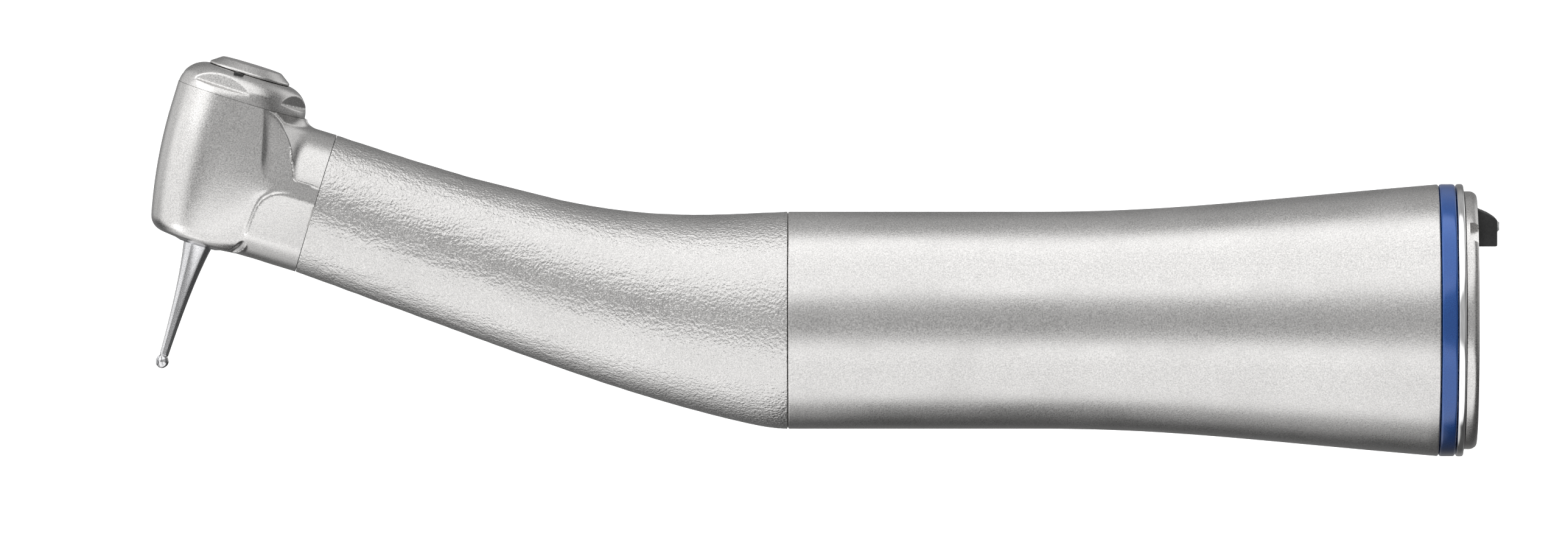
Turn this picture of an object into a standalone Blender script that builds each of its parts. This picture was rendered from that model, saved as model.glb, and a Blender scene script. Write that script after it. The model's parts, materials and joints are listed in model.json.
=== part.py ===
"""Contra angle handpiece, 1:1, with a push-button chuck and a bur.

Lengths are written in millimetres and turned into metres by MM. Three frames carry everything, and
each is an empty whose local Z runs along a turning axis:

    coupling_face  centre of the rear coupling face, Z along the rear shaft, towards the motor
    neck_axis      head centre, Z along the front shaft, towards the motor
    head_axis      head centre, Z along the bur, towards the push button

The world origin is the centre of the drive dog's rear end face, +X points to the motor and +Z to the
side of the push button.
"""

import math

import bmesh
import bpy
from mathutils import Matrix, Vector

MM = 0.001

# Overall layout
BEND_ANGLE = math.radians(17.0)
DOG_DEPTH = 17.3  # rear coupling face to the drive dog's end face
BEND_X = -57.67  # crossing of the two shaft axes, from the coupling face
HEAD_ARM = 37.16  # crossing of the shaft axes to the head centre

# Outer body
GRIP_R = 8.05  # parallel front part of the grip sleeve
GRIP_FRONT_X = -51.06
GRIP_FLARE_X = -32.2
GRIP_REAR_X = -2.84
GRIP_REAR_R = 10.08
COLLAR_R = 10.1
NUT_R = 9.56
NECK_R = 5.29
SEAM_S = 7.5  # head to neck sleeve seam, from the head centre along the neck
NECK_WALL = 0.65
SEAM_GAP = 0.03
COLLAR_BORE_R = 8.56
LINER_R = 7.2
NOSE_MOUTH_R = 6.2  # motor nose bore, wide rear part
NOSE_R = 5.5  # motor nose bore, deep part
NOSE_STEP_X = -8.0
NOSE_FLOOR_X = -24.5

# Head
HEAD_R = 4.9
CAP_SEAM_W = 5.75
CAP_TOP_W = 7.68
CAP_HOLE_R = 3.12
HEAD_BOTTOM_W = -5.37
BUTTON_TOP_W = 8.45
BUTTON_R = 3.06
THREAD_R = 4.12

# Bur
SHANK_R = 1.175
SHANK_TOP_W = 6.9
SHANK_FLAT = 0.75
BUR_BALL_W = -14.54
BUR_BALL_R = 0.52

# Drive
MITRE_TEETH = 12
MITRE_MODULE = 0.4
BEND_TEETH = 16
BEND_MODULE = 0.375
PRESSURE_ANGLE = math.radians(20)
BACKLASH = 0.07
PIN_X = -21.5
DOG_STROKE = 1.0

# Light guide and water tube
GUIDE_R = 0.5
TUBE_R = 0.35
PIPE_PITCH_R = 3.72  # distance of both from the front shaft's axis

# Clearances
FIT = 0.03
RUN = 0.06
PIPE_GAP = 0.13

# Points round a turned piece: outside, hidden casing, small parts
ROUND = 32
MEDIUM = 24
SMALL = 16

FINISHES = {
    "blasted": ((0.55, 0.55, 0.54), 1.0, 0.42),
    "polished": ((0.72, 0.72, 0.72), 1.0, 0.14),
    "bearing": ((0.62, 0.62, 0.63), 1.0, 0.18),
    "gear": ((0.42, 0.42, 0.43), 1.0, 0.3),
    "brass": ((0.66, 0.48, 0.2), 1.0, 0.3),
    "blue": ((0.0, 0.06, 0.27), 0.0, 0.12),
    "black": ((0.02, 0.02, 0.02), 0.0, 0.35),
    "cage": ((0.35, 0.2, 0.08), 0.0, 0.5),
    "glass": ((0.85, 0.9, 0.92), 0.0, 0.05),
}


# ---------------------------------------------------------------- frames, materials, building blocks


def clear_scene():
    for obj in list(bpy.data.objects):
        bpy.data.objects.remove(obj)


def frame_empty(name, origin, along, up):
    """An empty at origin, its local Z along one direction and its local X up another."""
    z, x = Vector(along).normalized(), Vector(up).normalized()
    axes = Matrix((x, z.cross(x), z)).transposed().to_4x4()
    empty = bpy.data.objects.new(name, None)
    empty.empty_display_size = 5 * MM
    empty.matrix_world = Matrix.Translation(Vector(origin) * MM) @ axes
    bpy.context.scene.collection.objects.link(empty)
    return empty


def finish_piece(obj, finish):
    colour, metallic, roughness = FINISHES[finish]
    material = bpy.data.materials.new(obj.name)
    material.use_nodes = True
    shader = material.node_tree.nodes["Principled BSDF"]
    shader.inputs["Base Color"].default_value = (*colour, 1)
    shader.inputs["Metallic"].default_value = metallic
    shader.inputs["Roughness"].default_value = roughness
    material.diffuse_color = (*colour, 1)
    obj.data.materials.clear()
    obj.data.materials.append(material)


def place(obj, frame):
    bpy.context.scene.collection.objects.link(obj)
    obj.parent = frame
    return obj


def mesh_piece(name, bm, frame, finish="gear"):
    """Turns a bmesh drawn in millimetres into an object in the given frame."""
    bmesh.ops.remove_doubles(bm, verts=bm.verts, dist=1e-5)
    bmesh.ops.recalc_face_normals(bm, faces=bm.faces)
    bmesh.ops.scale(bm, vec=(MM, MM, MM), verts=bm.verts)
    mesh = bpy.data.meshes.new(name)
    bm.to_mesh(mesh)
    bm.free()
    mesh.shade_smooth()
    mesh.set_sharp_from_angle(angle=math.radians(30))
    obj = place(bpy.data.objects.new(name, mesh), frame)
    finish_piece(obj, finish)
    return obj


def ring(bm, axial, radius, count, turn=0.0):
    return [
        bm.verts.new((radius * math.cos(a), radius * math.sin(a), axial))
        for a in (turn + 2 * math.pi * i / count for i in range(count))
    ]


def skin(bm, low, high):
    """Faces between two rings that start at the same angle and may differ in their number of points."""
    if len(low) == len(high):
        for i in range(len(low)):
            j = (i + 1) % len(low)
            bm.faces.new((low[i], low[j], high[j], high[i]))
        return
    a = b = 0
    while a < len(low) or b < len(high):
        if b == len(high) or (a < len(low) and (a + 1) * len(high) <= (b + 1) * len(low)):
            bm.faces.new((low[a], low[(a + 1) % len(low)], high[b % len(high)]))
            a += 1
        else:
            bm.faces.new((low[a % len(low)], high[(b + 1) % len(high)], high[b]))
            b += 1


def turned(name, profile, frame, finish, segments=MEDIUM):
    """A turned piece: a closed profile of (axial, radius) points spun about the frame's Z axis."""
    bm = bmesh.new()
    verts = [bm.verts.new((radius, 0, axial)) for axial, radius in profile]
    edges = []
    for i, vert in enumerate(verts):
        j = (i + 1) % len(verts)
        if profile[i][1] > 0 or profile[j][1] > 0:
            edges.append(bm.edges.new((vert, verts[j])))
    bmesh.ops.spin(
        bm,
        geom=verts + edges,
        cent=(0, 0, 0),
        axis=(0, 0, 1),
        steps=segments,
        angle=2 * math.pi,
        use_merge=True,
    )
    return mesh_piece(name, bm, frame, finish)


def prism(name, outline, low, high, frame, finish="gear", rise=2):
    """An outline extruded along local axis number rise (0 is X), given in the other two, in order."""
    bm = bmesh.new()

    def at(point, level):
        coords = list(point)
        coords.insert(rise, level)
        return bm.verts.new(coords)

    bottom = bm.faces.new([at(p, low) for p in outline])
    top = [at(p, high) for p in outline]
    bm.faces.new(reversed(top))
    skin(bm, list(bottom.verts), top)
    return mesh_piece(name, bm, frame, finish)


def block(name, x, y, z, frame):
    return prism(name, [(x[0], y[0]), (x[1], y[0]), (x[1], y[1]), (x[0], y[1])], *z, frame)


def rod(name, start, end, radius, frame, segments=16):
    """A straight cylinder between two points of the frame."""
    start, end = Vector(start), Vector(end)
    bm = bmesh.new()
    turn = (end - start).to_track_quat("Z", "Y").to_matrix().to_4x4()
    bmesh.ops.create_cone(
        bm,
        cap_ends=True,
        segments=segments,
        radius1=radius,
        radius2=radius,
        depth=(end - start).length,
        matrix=Matrix.Translation((start + end) / 2) @ turn,
    )
    return mesh_piece(name, bm, frame)


def wire(name, points, radius, frame, finish, sides=6, closed=False):
    """A round wire or tube along a path."""
    curve = bpy.data.curves.new(name, "CURVE")
    curve.dimensions = "3D"
    curve.bevel_depth = radius * MM
    curve.bevel_resolution = (sides - 4) // 2
    curve.use_fill_caps = True
    spline = curve.splines.new("POLY")
    spline.points.add(len(points) - 1)
    for target, point in zip(spline.points, points):
        target.co = (*(Vector(point) * MM), 1)
    spline.use_cyclic_u = closed
    obj = place(bpy.data.objects.new(name, curve), frame)
    finish_piece(obj, finish)
    return obj


def coil(name, radius, thickness, low, high, turns, frame, finish, steps=10):
    points = []
    for i in range(int(turns * steps) + 1):
        angle = 2 * math.pi * i / steps
        level = low + (high - low) * i / (turns * steps)
        points.append((radius * math.cos(angle), radius * math.sin(angle), level))
    return wire(name, points, thickness, frame, finish, sides=4)


def merge(piece, others, operation="DIFFERENCE"):
    """Cuts the other objects from a piece, or joins them to it, and removes them."""
    for other in others:
        if other.type != "MESH":
            graph = bpy.context.evaluated_depsgraph_get()
            solid = bpy.data.meshes.new_from_object(other.evaluated_get(graph))
            plain = bpy.data.objects.new(other.name + "_mesh", solid)
            place(plain, other.parent)
            bpy.data.objects.remove(other)
            other = plain
        bm = bmesh.new()
        bm.from_mesh(other.data)
        bmesh.ops.remove_doubles(bm, verts=bm.verts, dist=1e-8)
        bmesh.ops.recalc_face_normals(bm, faces=bm.faces)
        bm.to_mesh(other.data)
        bm.free()
        modifier = piece.modifiers.new(operation, "BOOLEAN")
        modifier.operation = operation
        modifier.object = other
        modifier.solver = "EXACT"
        bpy.context.view_layer.update()
        graph = bpy.context.evaluated_depsgraph_get()
        result = bpy.data.meshes.new_from_object(piece.evaluated_get(graph))
        piece.modifiers.clear()
        piece.data = result
        bpy.data.objects.remove(other)
    finish = piece.data.materials[0]
    piece.data.materials.clear()
    piece.data.materials.append(finish)
    for polygon in piece.data.polygons:
        polygon.material_index = 0
    piece.data.shade_smooth()
    piece.data.set_sharp_from_angle(angle=math.radians(30))
    return piece


# ---------------------------------------------------------------- curves and profiles


def bezier(controls, t):
    """A point of the Bezier curve of any degree, by repeated interpolation."""
    points = [Vector(c) for c in controls]
    while len(points) > 1:
        points = [a.lerp(b, t) for a, b in zip(points, points[1:])]
    return points[0]


def grip_radius(x):
    """Radius of the grip sleeve: parallel at the front, then an easy flare to the collar."""
    if x <= GRIP_FLARE_X:
        return GRIP_R
    curve = (
        (GRIP_FLARE_X, GRIP_R),
        (GRIP_FLARE_X + 9.7, GRIP_R),
        (GRIP_REAR_X - 13.2, GRIP_REAR_R - 1.1),
        (GRIP_REAR_X, GRIP_REAR_R),
    )
    low, high = 0.0, 1.0
    for _ in range(30):
        middle = (low + high) / 2
        low, high = (middle, high) if bezier(curve, middle).x < x else (low, middle)
    return bezier(curve, low).y


# Neck sleeve: (x, z, radius) of its centreline, from the grip sleeve to the head
NECK_CURVE = (
    (GRIP_FRONT_X - SEAM_GAP, 0.0, GRIP_R),
    (GRIP_FRONT_X - 1.15, 0.0, 8.16),
    (-62.18, 1.01, 6.6),
    (-65.11, 1.34, 5.58),
    (-86.0, 8.66, NECK_R),
)


def neck_section(t):
    """Centre, radius and tilt of the neck sleeve's cross-section at t, 0 at the grip, 1 at the head."""
    here, ahead = bezier(NECK_CURVE, t), bezier(NECK_CURVE, min(t + 0.01, 1.0))
    behind = bezier(NECK_CURVE, max(t - 0.01, 0.0))
    tilt = math.atan2(ahead.y - behind.y, behind.x - ahead.x)
    return Vector((here.x, 0, here.y)), here.z, min(tilt, BEND_ANGLE) * min(1.0, 10 * t)


def head_radius(w):
    """Radius of the turned head body between its bottom edge and the cap seam."""
    return HEAD_R if w > 4 else HEAD_R - 0.0137 * (4 - w) ** 2


def bur_profile():
    """The bur from the top of its shank to the tip of its round cutting end."""
    profile = [
        (SHANK_TOP_W, 0),
        (SHANK_TOP_W, SHANK_R - 0.12),
        (SHANK_TOP_W - 0.12, SHANK_R),
        (6.35, SHANK_R),
        (6.3, 0.95),
        (5.95, 0.95),
        (5.9, SHANK_R),
        (-5.25, SHANK_R),
    ]
    for i in range(9):
        fall = 8.6 * i / 8
        profile.append((-5.5 - fall, 0.19 + 0.88 * math.exp(-fall / 4.6)))
    for i in range(6):
        angle = math.radians(38 + 142 * i / 5)
        profile.append(
            (
                BUR_BALL_W + BUR_BALL_R * math.cos(angle),
                max(0, BUR_BALL_R * math.sin(angle) if i < 5 else 0),
            )
        )
    return profile


# ---------------------------------------------------------------- gears and bearings


def involute(angle):
    return math.tan(angle) - angle


def tooth_outline(teeth, module, pitch_angle, steps):
    """Back-cone outline of one tooth: (distance from the back cone's apex, half angle) root to tip."""
    pitch = module * teeth / 2 / math.cos(pitch_angle)
    base = pitch * math.cos(PRESSURE_ANGLE)
    half = (math.pi * module / 4 - BACKLASH / 2) / pitch + involute(PRESSURE_ANGLE)
    outline = []
    for i in range(steps + 1):
        level = pitch + module * (-1.15 + 2.05 * i / steps)
        meets = math.acos(min(1.0, base / level))
        outline.append((level, half - involute(meets)))
    return pitch, outline


def tooth_ring(bm, teeth, module, pitch_angle, scale, phase, side, steps):
    """Points round one end of a bevel gear's teeth. side is 1 when the gear lies at +Z of the apex."""
    pitch, outline = tooth_outline(teeth, module, pitch_angle, steps)
    radius = module * teeth / 2
    points = []
    for tooth in range(teeth):
        centre = phase + 2 * math.pi * tooth / teeth
        flanks = [(r, -a) for r, a in outline] + [(r, a) for r, a in reversed(outline)]
        for level, half in flanks:
            angle = centre + half / math.cos(pitch_angle)
            out = scale * level * math.cos(pitch_angle)
            axial = radius / math.tan(pitch_angle) - (level - pitch) * math.sin(pitch_angle)
            points.append(
                bm.verts.new((out * math.cos(angle), out * math.sin(angle), side * scale * axial))
            )
    return points


def bevel_gear(
    name, teeth, module, pitch_angle, face, rings, frame, centre=0.0, phase=0.0, side=1, steps=2
):
    """A bevel gear with its apex at centre. rings lead from the large end round to the small end."""
    bm = bmesh.new()
    cone = module * teeth / 2 / math.sin(pitch_angle)
    large = tooth_ring(bm, teeth, module, pitch_angle, 1.0, phase, side, steps)
    small = tooth_ring(bm, teeth, module, pitch_angle, 1 - face / cone, phase, side, steps)
    skin(bm, small, large)
    count = 2 * teeth
    loops = [ring(bm, side * axial, radius, count, phase) for axial, radius in rings]
    for low, high in zip([large, *loops], [*loops, small]):
        skin(bm, low, high)
    bmesh.ops.translate(bm, vec=(0, 0, centre), verts=bm.verts)
    return mesh_piece(name, bm, frame, "gear")


def bearing(name, frame, start, width, bore_r, outer_r, balls=6):
    """A ball bearing of three pieces: outer ring, inner ring, and the balls with their cage."""
    middle, end, lip = start + width / 2, start + width, 0.26 * (outer_r - bore_r)
    groove = 0.35 * lip
    turned(
        name + "_outer_ring",
        [
            (start, outer_r),
            (end, outer_r),
            (end, outer_r - lip),
            (middle, outer_r - lip + groove),
            (start, outer_r - lip),
        ],
        frame,
        "bearing",
        SMALL,
    )
    turned(
        name + "_inner_ring",
        [
            (start, bore_r),
            (start, bore_r + lip),
            (middle, bore_r + lip - groove),
            (end, bore_r + lip),
            (end, bore_r),
        ],
        frame,
        "bearing",
        SMALL,
    )
    pitch = (bore_r + outer_r) / 2
    ball_r = (outer_r - bore_r) / 2 - lip + groove - RUN
    cage = turned(
        name + "_balls_and_cage",
        [
            (middle - 0.55 * ball_r, pitch - 0.4 * ball_r),
            (middle + 0.55 * ball_r, pitch - 0.4 * ball_r),
            (middle + 0.55 * ball_r, pitch + 0.4 * ball_r),
            (middle - 0.55 * ball_r, pitch + 0.4 * ball_r),
        ],
        frame,
        "cage",
        2 * balls,
    )
    bm = bmesh.new()
    for i in range(balls):
        angle = 2 * math.pi * (i + 0.5) / balls
        spot = Vector((pitch * math.cos(angle), pitch * math.sin(angle), middle))
        matrix = Matrix.Translation(spot) @ Matrix.Rotation(angle, 4, "Z")
        bmesh.ops.create_uvsphere(bm, u_segments=6, v_segments=4, radius=ball_r, matrix=matrix)
    return merge(cage, [mesh_piece(name + "_ball_set", bm, frame)], "UNION")


# ---------------------------------------------------------------- outer body


def make_grip_sleeve(rear):
    front = GRIP_FRONT_X + SEAM_GAP
    outer = [(front, GRIP_R - 0.12), (front + 0.12, GRIP_R), (GRIP_FLARE_X, GRIP_R)]
    steps = 7
    for i in range(1, steps + 1):
        x = GRIP_FLARE_X + (GRIP_REAR_X - 0.15 - GRIP_FLARE_X) * i / steps
        outer.append((x, grip_radius(x)))
    outer.append((GRIP_REAR_X, GRIP_REAR_R - 0.15))
    inner = [(GRIP_REAR_X, 8.95), (-4.5, 8.95), (-22, LINER_R + 0.05), (front, LINER_R + 0.05)]
    turned("grip_sleeve", outer + inner, rear, "blasted", ROUND)


def make_collar(rear):
    def band(name, low, high, radius, edge, finish):
        profile = [
            (low, COLLAR_BORE_R),
            (low, radius - edge),
            (low + edge, radius),
            (high - edge, radius),
            (high, radius - edge),
            (high, COLLAR_BORE_R),
        ]
        return turned(name, profile, rear, finish, ROUND)

    band("ratio_ring", -2.8, -1.6, COLLAR_R - 0.01, 0.15, "blue")
    band("stop_ring", -1.56, -0.99, COLLAR_R, 0.12, "polished")
    nut = turned(
        "ring_nut",
        [
            (-0.93, COLLAR_BORE_R),
            (-0.93, NUT_R),
            (-0.3, NUT_R),
            (-0.08, NUT_R - 0.1),
            (0, NUT_R - 0.26),
            (0, COLLAR_BORE_R),
        ],
        rear,
        "blasted",
        ROUND,
    )
    cutters = []
    for i in range(2):
        cutter = block(f"notch_{i}", (8.9, 11), (-0.91, 0.91), (-0.64, 1), rear)
        cutter.rotation_euler.z = math.radians(44 + 180 * i)
        cutters.append(cutter)
    merge(nut, cutters)


def make_coupling_liner(rear):
    liner = turned(
        "coupling_liner",
        [
            (-28.1, LINER_R),
            (-22, LINER_R),
            (-4.5, 8.9),
            (-2.9, 8.9),
            (-2.9, 8.5),
            (-0.05, 8.5),
            (-0.05, NOSE_MOUTH_R + 0.15),
            (-0.2, NOSE_MOUTH_R),
            (NOSE_STEP_X, NOSE_MOUTH_R),
            (NOSE_STEP_X - 0.4, NOSE_R),
            (-11.65, NOSE_R),
            (-11.65, 5.95),
            (-12.35, 5.95),
            (-12.35, NOSE_R),
            (NOSE_FLOOR_X, NOSE_R),
            (NOSE_FLOOR_X, 2.7),
            (-28.1, 2.7),
        ],
        rear,
        "polished",
        MEDIUM,
    )
    pocket = block("foot_pocket", (6.0, 8.2), (-1.63, 1.63), (-2.45, 1), rear)
    merge(
        liner,
        [
            pocket,
            wire("guide_tunnel", guide_path(rear_only=True), GUIDE_R + PIPE_GAP, None, "glass"),
            wire("tube_tunnel", tube_path(rear_only=True), TUBE_R + PIPE_GAP, None, "glass"),
        ],
    )
    arc = []
    for i in range(25):
        angle = math.radians(20 + 320 * i / 24)
        arc.append((5.62 * math.cos(angle), 5.62 * math.sin(angle), -12.0))
    wire("nose_retaining_ring", arc, 0.25, rear, "polished")


def make_light_guide_holder(rear):
    """The black block at the coupling face that holds the light guide's end, and its foot."""
    side = [(8.3, 0.03), (7.95, 0.85), (7.7, 1.25), (7.5, 1.49), (5.6, 1.49), (5.55, 1.4), (5.55, 0.03)]
    holder = prism("light_guide_holder", side, -2.2, 2.2, rear, "black", rise=1)
    foot = block("foot", (6.25, 8.15), (-1.6, 1.6), (-2.4, 0.5), rear)
    merge(holder, [foot], "UNION")
    merge(holder, [rod("guide_hole", (6.95, 0, -3), (6.95, 0, 2), GUIDE_R + PIPE_GAP, rear, 12)])


def make_neck_sleeve(rear):
    """The bent sleeve between head and grip, with a threaded spigot that goes into the grip sleeve."""
    bm = bmesh.new()
    count, steps = ROUND, 10
    loops = [section_ring(bm, i / steps, 0.0, count) for i in range(steps, -1, -1)]
    for x, radius in ((-51.1, 7.22), (-47.0, 7.22), (-47.0, 6.5), (-51.1, 6.5)):
        loops.append(ring(bm, x, radius, count))
    loops += [section_ring(bm, i / 5, NECK_WALL, count) for i in range(1, 6)]
    for low, high in zip(loops, loops[1:] + loops[:1]):
        skin(bm, low, high)
    mesh_piece("neck_sleeve", bm, rear, "blasted")


def section_ring(bm, t, inset, count):
    """One cross-section ring of the neck sleeve, in the coupling frame."""
    centre, radius, tilt = neck_section(t)
    points = []
    for i in range(count):
        angle = 2 * math.pi * i / count
        up, side = (radius - inset) * math.cos(angle), (radius - inset) * math.sin(angle)
        points.append(
            bm.verts.new(
                (centre.z + up * math.cos(tilt), side, centre.x + up * math.sin(tilt))
            )
        )
    return points


# ---------------------------------------------------------------- head


def make_head_housing(head, neck):
    outer = [(CAP_SEAM_W - SEAM_GAP, 0), (CAP_SEAM_W - SEAM_GAP, HEAD_R)]
    outer += [(w, head_radius(w)) for w in (4, 2.5, 1, -0.5, -2, -3, -4)]
    outer += [(-4.4, 3.88), (-4.8, 3.65), (-5.1, 3.38), (-5.25, 3.1), (HEAD_BOTTOM_W, 2.05)]
    outer.append((HEAD_BOTTOM_W, 0))
    housing = turned("head_housing", outer, head, "blasted", ROUND)
    seam = SEAM_S - SEAM_GAP
    stem = turned(
        "stem",
        [
            (0, 0),
            (0, 4.2),
            (3.6, 4.55),
            (4.6, 4.85),
            (5.2, NECK_R),
            (seam, NECK_R),
            (seam, 4.6),
            (11.5, 4.6),
            (11.5, 0),
        ],
        neck,
        "blasted",
        ROUND,
    )
    cheek = turned(
        "cheek", [(2.75, 0), (2.75, 5.15), (5.3, 5.2), (5.3, 0)], neck, "blasted", ROUND
    )
    merge(cheek, [block("cheek_top", (1.35, 9), (-9, 9), (0, 9), neck)])
    merge(housing, [stem, cheek], "UNION")
    room = turned(
        "room",
        [
            (-6, 0),
            (-6, 2.05),
            (-5.0, 2.05),
            (-5.0, 3.26),
            (-2.7, 3.26),
            (-2.7, 3.4),
            (2.9, 3.4),
            (2.9, THREAD_R + 2 * FIT),
            (6, THREAD_R + 2 * FIT),
            (6, 0),
        ],
        head,
        "gear",
        MEDIUM,
    )
    bore = rod("bore", (0, 0, 0), (0, 0, 12), 2.9, neck, MEDIUM)
    flats = [
        block(f"flat_{i}", (-9, 9), span, (0, seam + 0.01), neck)
        for i, span in enumerate(((5.12, 9), (-9, -5.12)))
    ]
    ports = [
        wire("guide_bore", guide_path(front_only=True), GUIDE_R + PIPE_GAP, None, "glass"),
        wire("tube_bore", tube_path(front_only=True), TUBE_R + PIPE_GAP, None, "glass"),
    ]
    merge(housing, [*flats, room, bore, *ports])


def make_head_cap(head):
    cap = turned(
        "head_cap",
        [
            (CAP_TOP_W, CAP_HOLE_R),
            (CAP_TOP_W, 3.3),
            (7.6, 3.55),
            (7.4, 3.97),
            (7.2, 4.23),
            (7.0, 4.42),
            (6.7, 4.64),
            (6.3, 4.78),
            (CAP_SEAM_W, 4.87),
            (CAP_SEAM_W, THREAD_R),
            (2.95, THREAD_R),
            (2.95, 3.26),
            (5.03, 3.26),
            (5.03, 2.7),
            (5.3, 2.7),
            (5.3, 3.65),
            (6.53, 3.65),
            (6.53, CAP_HOLE_R),
        ],
        head,
        "blasted",
        ROUND,
    )
    cutters = []
    for i in range(4):
        cutter = block(f"spanner_flat_{i}", (4.16, 6), (-3, 3), (6.32, 9), head)
        cutter.rotation_euler.z = math.radians(-113 + 90 * i)
        cutters.append(cutter)
    cutters.append(block("slot", (-1.07, -0.35), (-3.6, -2.8), (7.53, 8), head))
    merge(cap, cutters)


def make_push_button(head):
    turned(
        "push_button",
        [
            (BUTTON_TOP_W, 0),
            (BUTTON_TOP_W, 2.25),
            (7.92, 3.0),
            (7.84, BUTTON_R),
            (7.76, BUTTON_R),
            (7.62, 2.98),
            (6.5, 2.98),
            (6.5, 3.55),
            (6.15, 3.55),
            (6.15, 2.65),
            (7.5, 2.65),
            (7.5, 2.1),
            (6.25, 2.1),
            (6.25, 1.5),
            (7.75, 1.5),
            (7.75, 0),
        ],
        head,
        "blasted",
        MEDIUM,
    )
    coil("button_spring", 3.1, 0.13, 5.5, 5.95, 2, head, "polished", steps=14)
    turned(
        "chuck_release_ring",
        [(5.95, 1.27), (5.95, 2.3), (5.55, 2.3), (5.55, 1.68), (5.8, 1.68), (5.8, 1.27)],
        head,
        "gear",
        SMALL,
    )


def make_spindle(head):
    """The hollow spindle with its mitre gear. The top of its bore is D-shaped to drive the shank."""
    spindle = turned(
        "spindle",
        [
            (-5.5, 0),
            (-5.5, 1.45),
            (HEAD_BOTTOM_W, 1.93),
            (-4.85, 1.93),
            (-4.83, 1.72),
            (-2.74, 1.72),
            (-2.72, 1.88),
            (-2.62, 1.88),
            (-2.0, 1.43),
            (2.96, 1.43),
            (2.98, 1.72),
            (5.05, 1.72),
            (5.07, 1.6),
            (5.3, 1.6),
            (5.3, 0),
        ],
        head,
        "gear",
        SMALL,
    )
    gear = bevel_gear(
        "spindle_gear",
        MITRE_TEETH,
        MITRE_MODULE,
        math.radians(45),
        0.95,
        [(2.92, 1.95), (2.92, 1.3), (1.98, 1.3)],
        head,
        phase=math.pi / MITRE_TEETH,
    )
    merge(spindle, [gear], "UNION")
    bore_r = SHANK_R + RUN
    shape = []
    half = math.acos((SHANK_FLAT + 0.05) / bore_r)
    for i in range(13):
        angle = half + (2 * math.pi - 2 * half) * i / 12
        shape.append(((bore_r - 0.02) * math.cos(angle), (bore_r - 0.02) * math.sin(angle)))
    round_bore = rod("round_bore", (0, 0, -6), (0, 0, 3.6), bore_r, head, SMALL)
    merge(spindle, [round_bore, prism("driver_bore", shape, 3.5, 6, head)])


def make_bur(head):
    bur = turned("bur", bur_profile(), head, "polished", SMALL)
    merge(bur, [block("shank_flat", (SHANK_FLAT, 2), (-2, 2), (3.4, 8), head)])


# ---------------------------------------------------------------- shafts


def make_front_shaft(neck):
    """The front shaft with a mitre gear at the head and a bend gear at the other end."""
    turned(
        "front_shaft",
        [
            (2.0, 0),
            (2.0, 0.86),
            (3.64, 0.86),
            (3.66, 0.98),
            (5.52, 0.98),
            (5.54, 1.25),
            (31.4, 1.25),
            (31.42, 0.98),
            (33.3, 0.98),
            (33.32, 0.86),
            (HEAD_ARM - 0.62, 0.86),
            (HEAD_ARM - 0.62, 0),
        ],
        neck,
        "gear",
        SMALL,
    )
    bevel_gear(
        "front_shaft_head_gear",
        MITRE_TEETH,
        MITRE_MODULE,
        math.radians(45),
        0.95,
        [(2.95, 1.95), (2.95, 1.45), (3.55, 1.45), (3.55, 0.88), (1.97, 0.88)],
        neck,
    )
    bend_gear("front_shaft_bend_gear", neck, HEAD_ARM, -1, math.pi / BEND_TEETH, 0.88, 3.55)
    turned(
        "front_bearing_sleeve",
        [
            (3.64, 2.85),
            (3.64, 2.39),
            (5.6, 2.39),
            (5.6, 1.9),
            (31.35, 1.9),
            (31.35, 2.39),
            (33.6, 2.39),
            (33.6, 3.35),
            (36.3, 3.35),
            (36.3, 3.9),
            (32.9, 3.9),
            (32.9, 2.85),
        ],
        neck,
        "brass",
        SMALL,
    )
    bearing("front_bearing_a", neck, 3.7, 1.8, 1.0, 2.35)
    bearing("front_bearing_b", neck, 31.45, 1.8, 1.0, 2.35)


def bend_gear(name, frame, centre, side, phase, bore_r, hub_depth):
    """One of the pair of face-to-face bevel gears that carry the drive round the bend."""
    hub_r = bore_r + 0.75
    return bevel_gear(
        name,
        BEND_TEETH,
        BEND_MODULE,
        math.pi / 2 - BEND_ANGLE / 2,
        1.0,
        [(1.5, 2.9), (1.5, hub_r), (hub_depth, hub_r), (hub_depth, bore_r), (0.65, bore_r)],
        frame,
        centre=centre,
        phase=phase,
        side=side,
        steps=1,
    )


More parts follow.
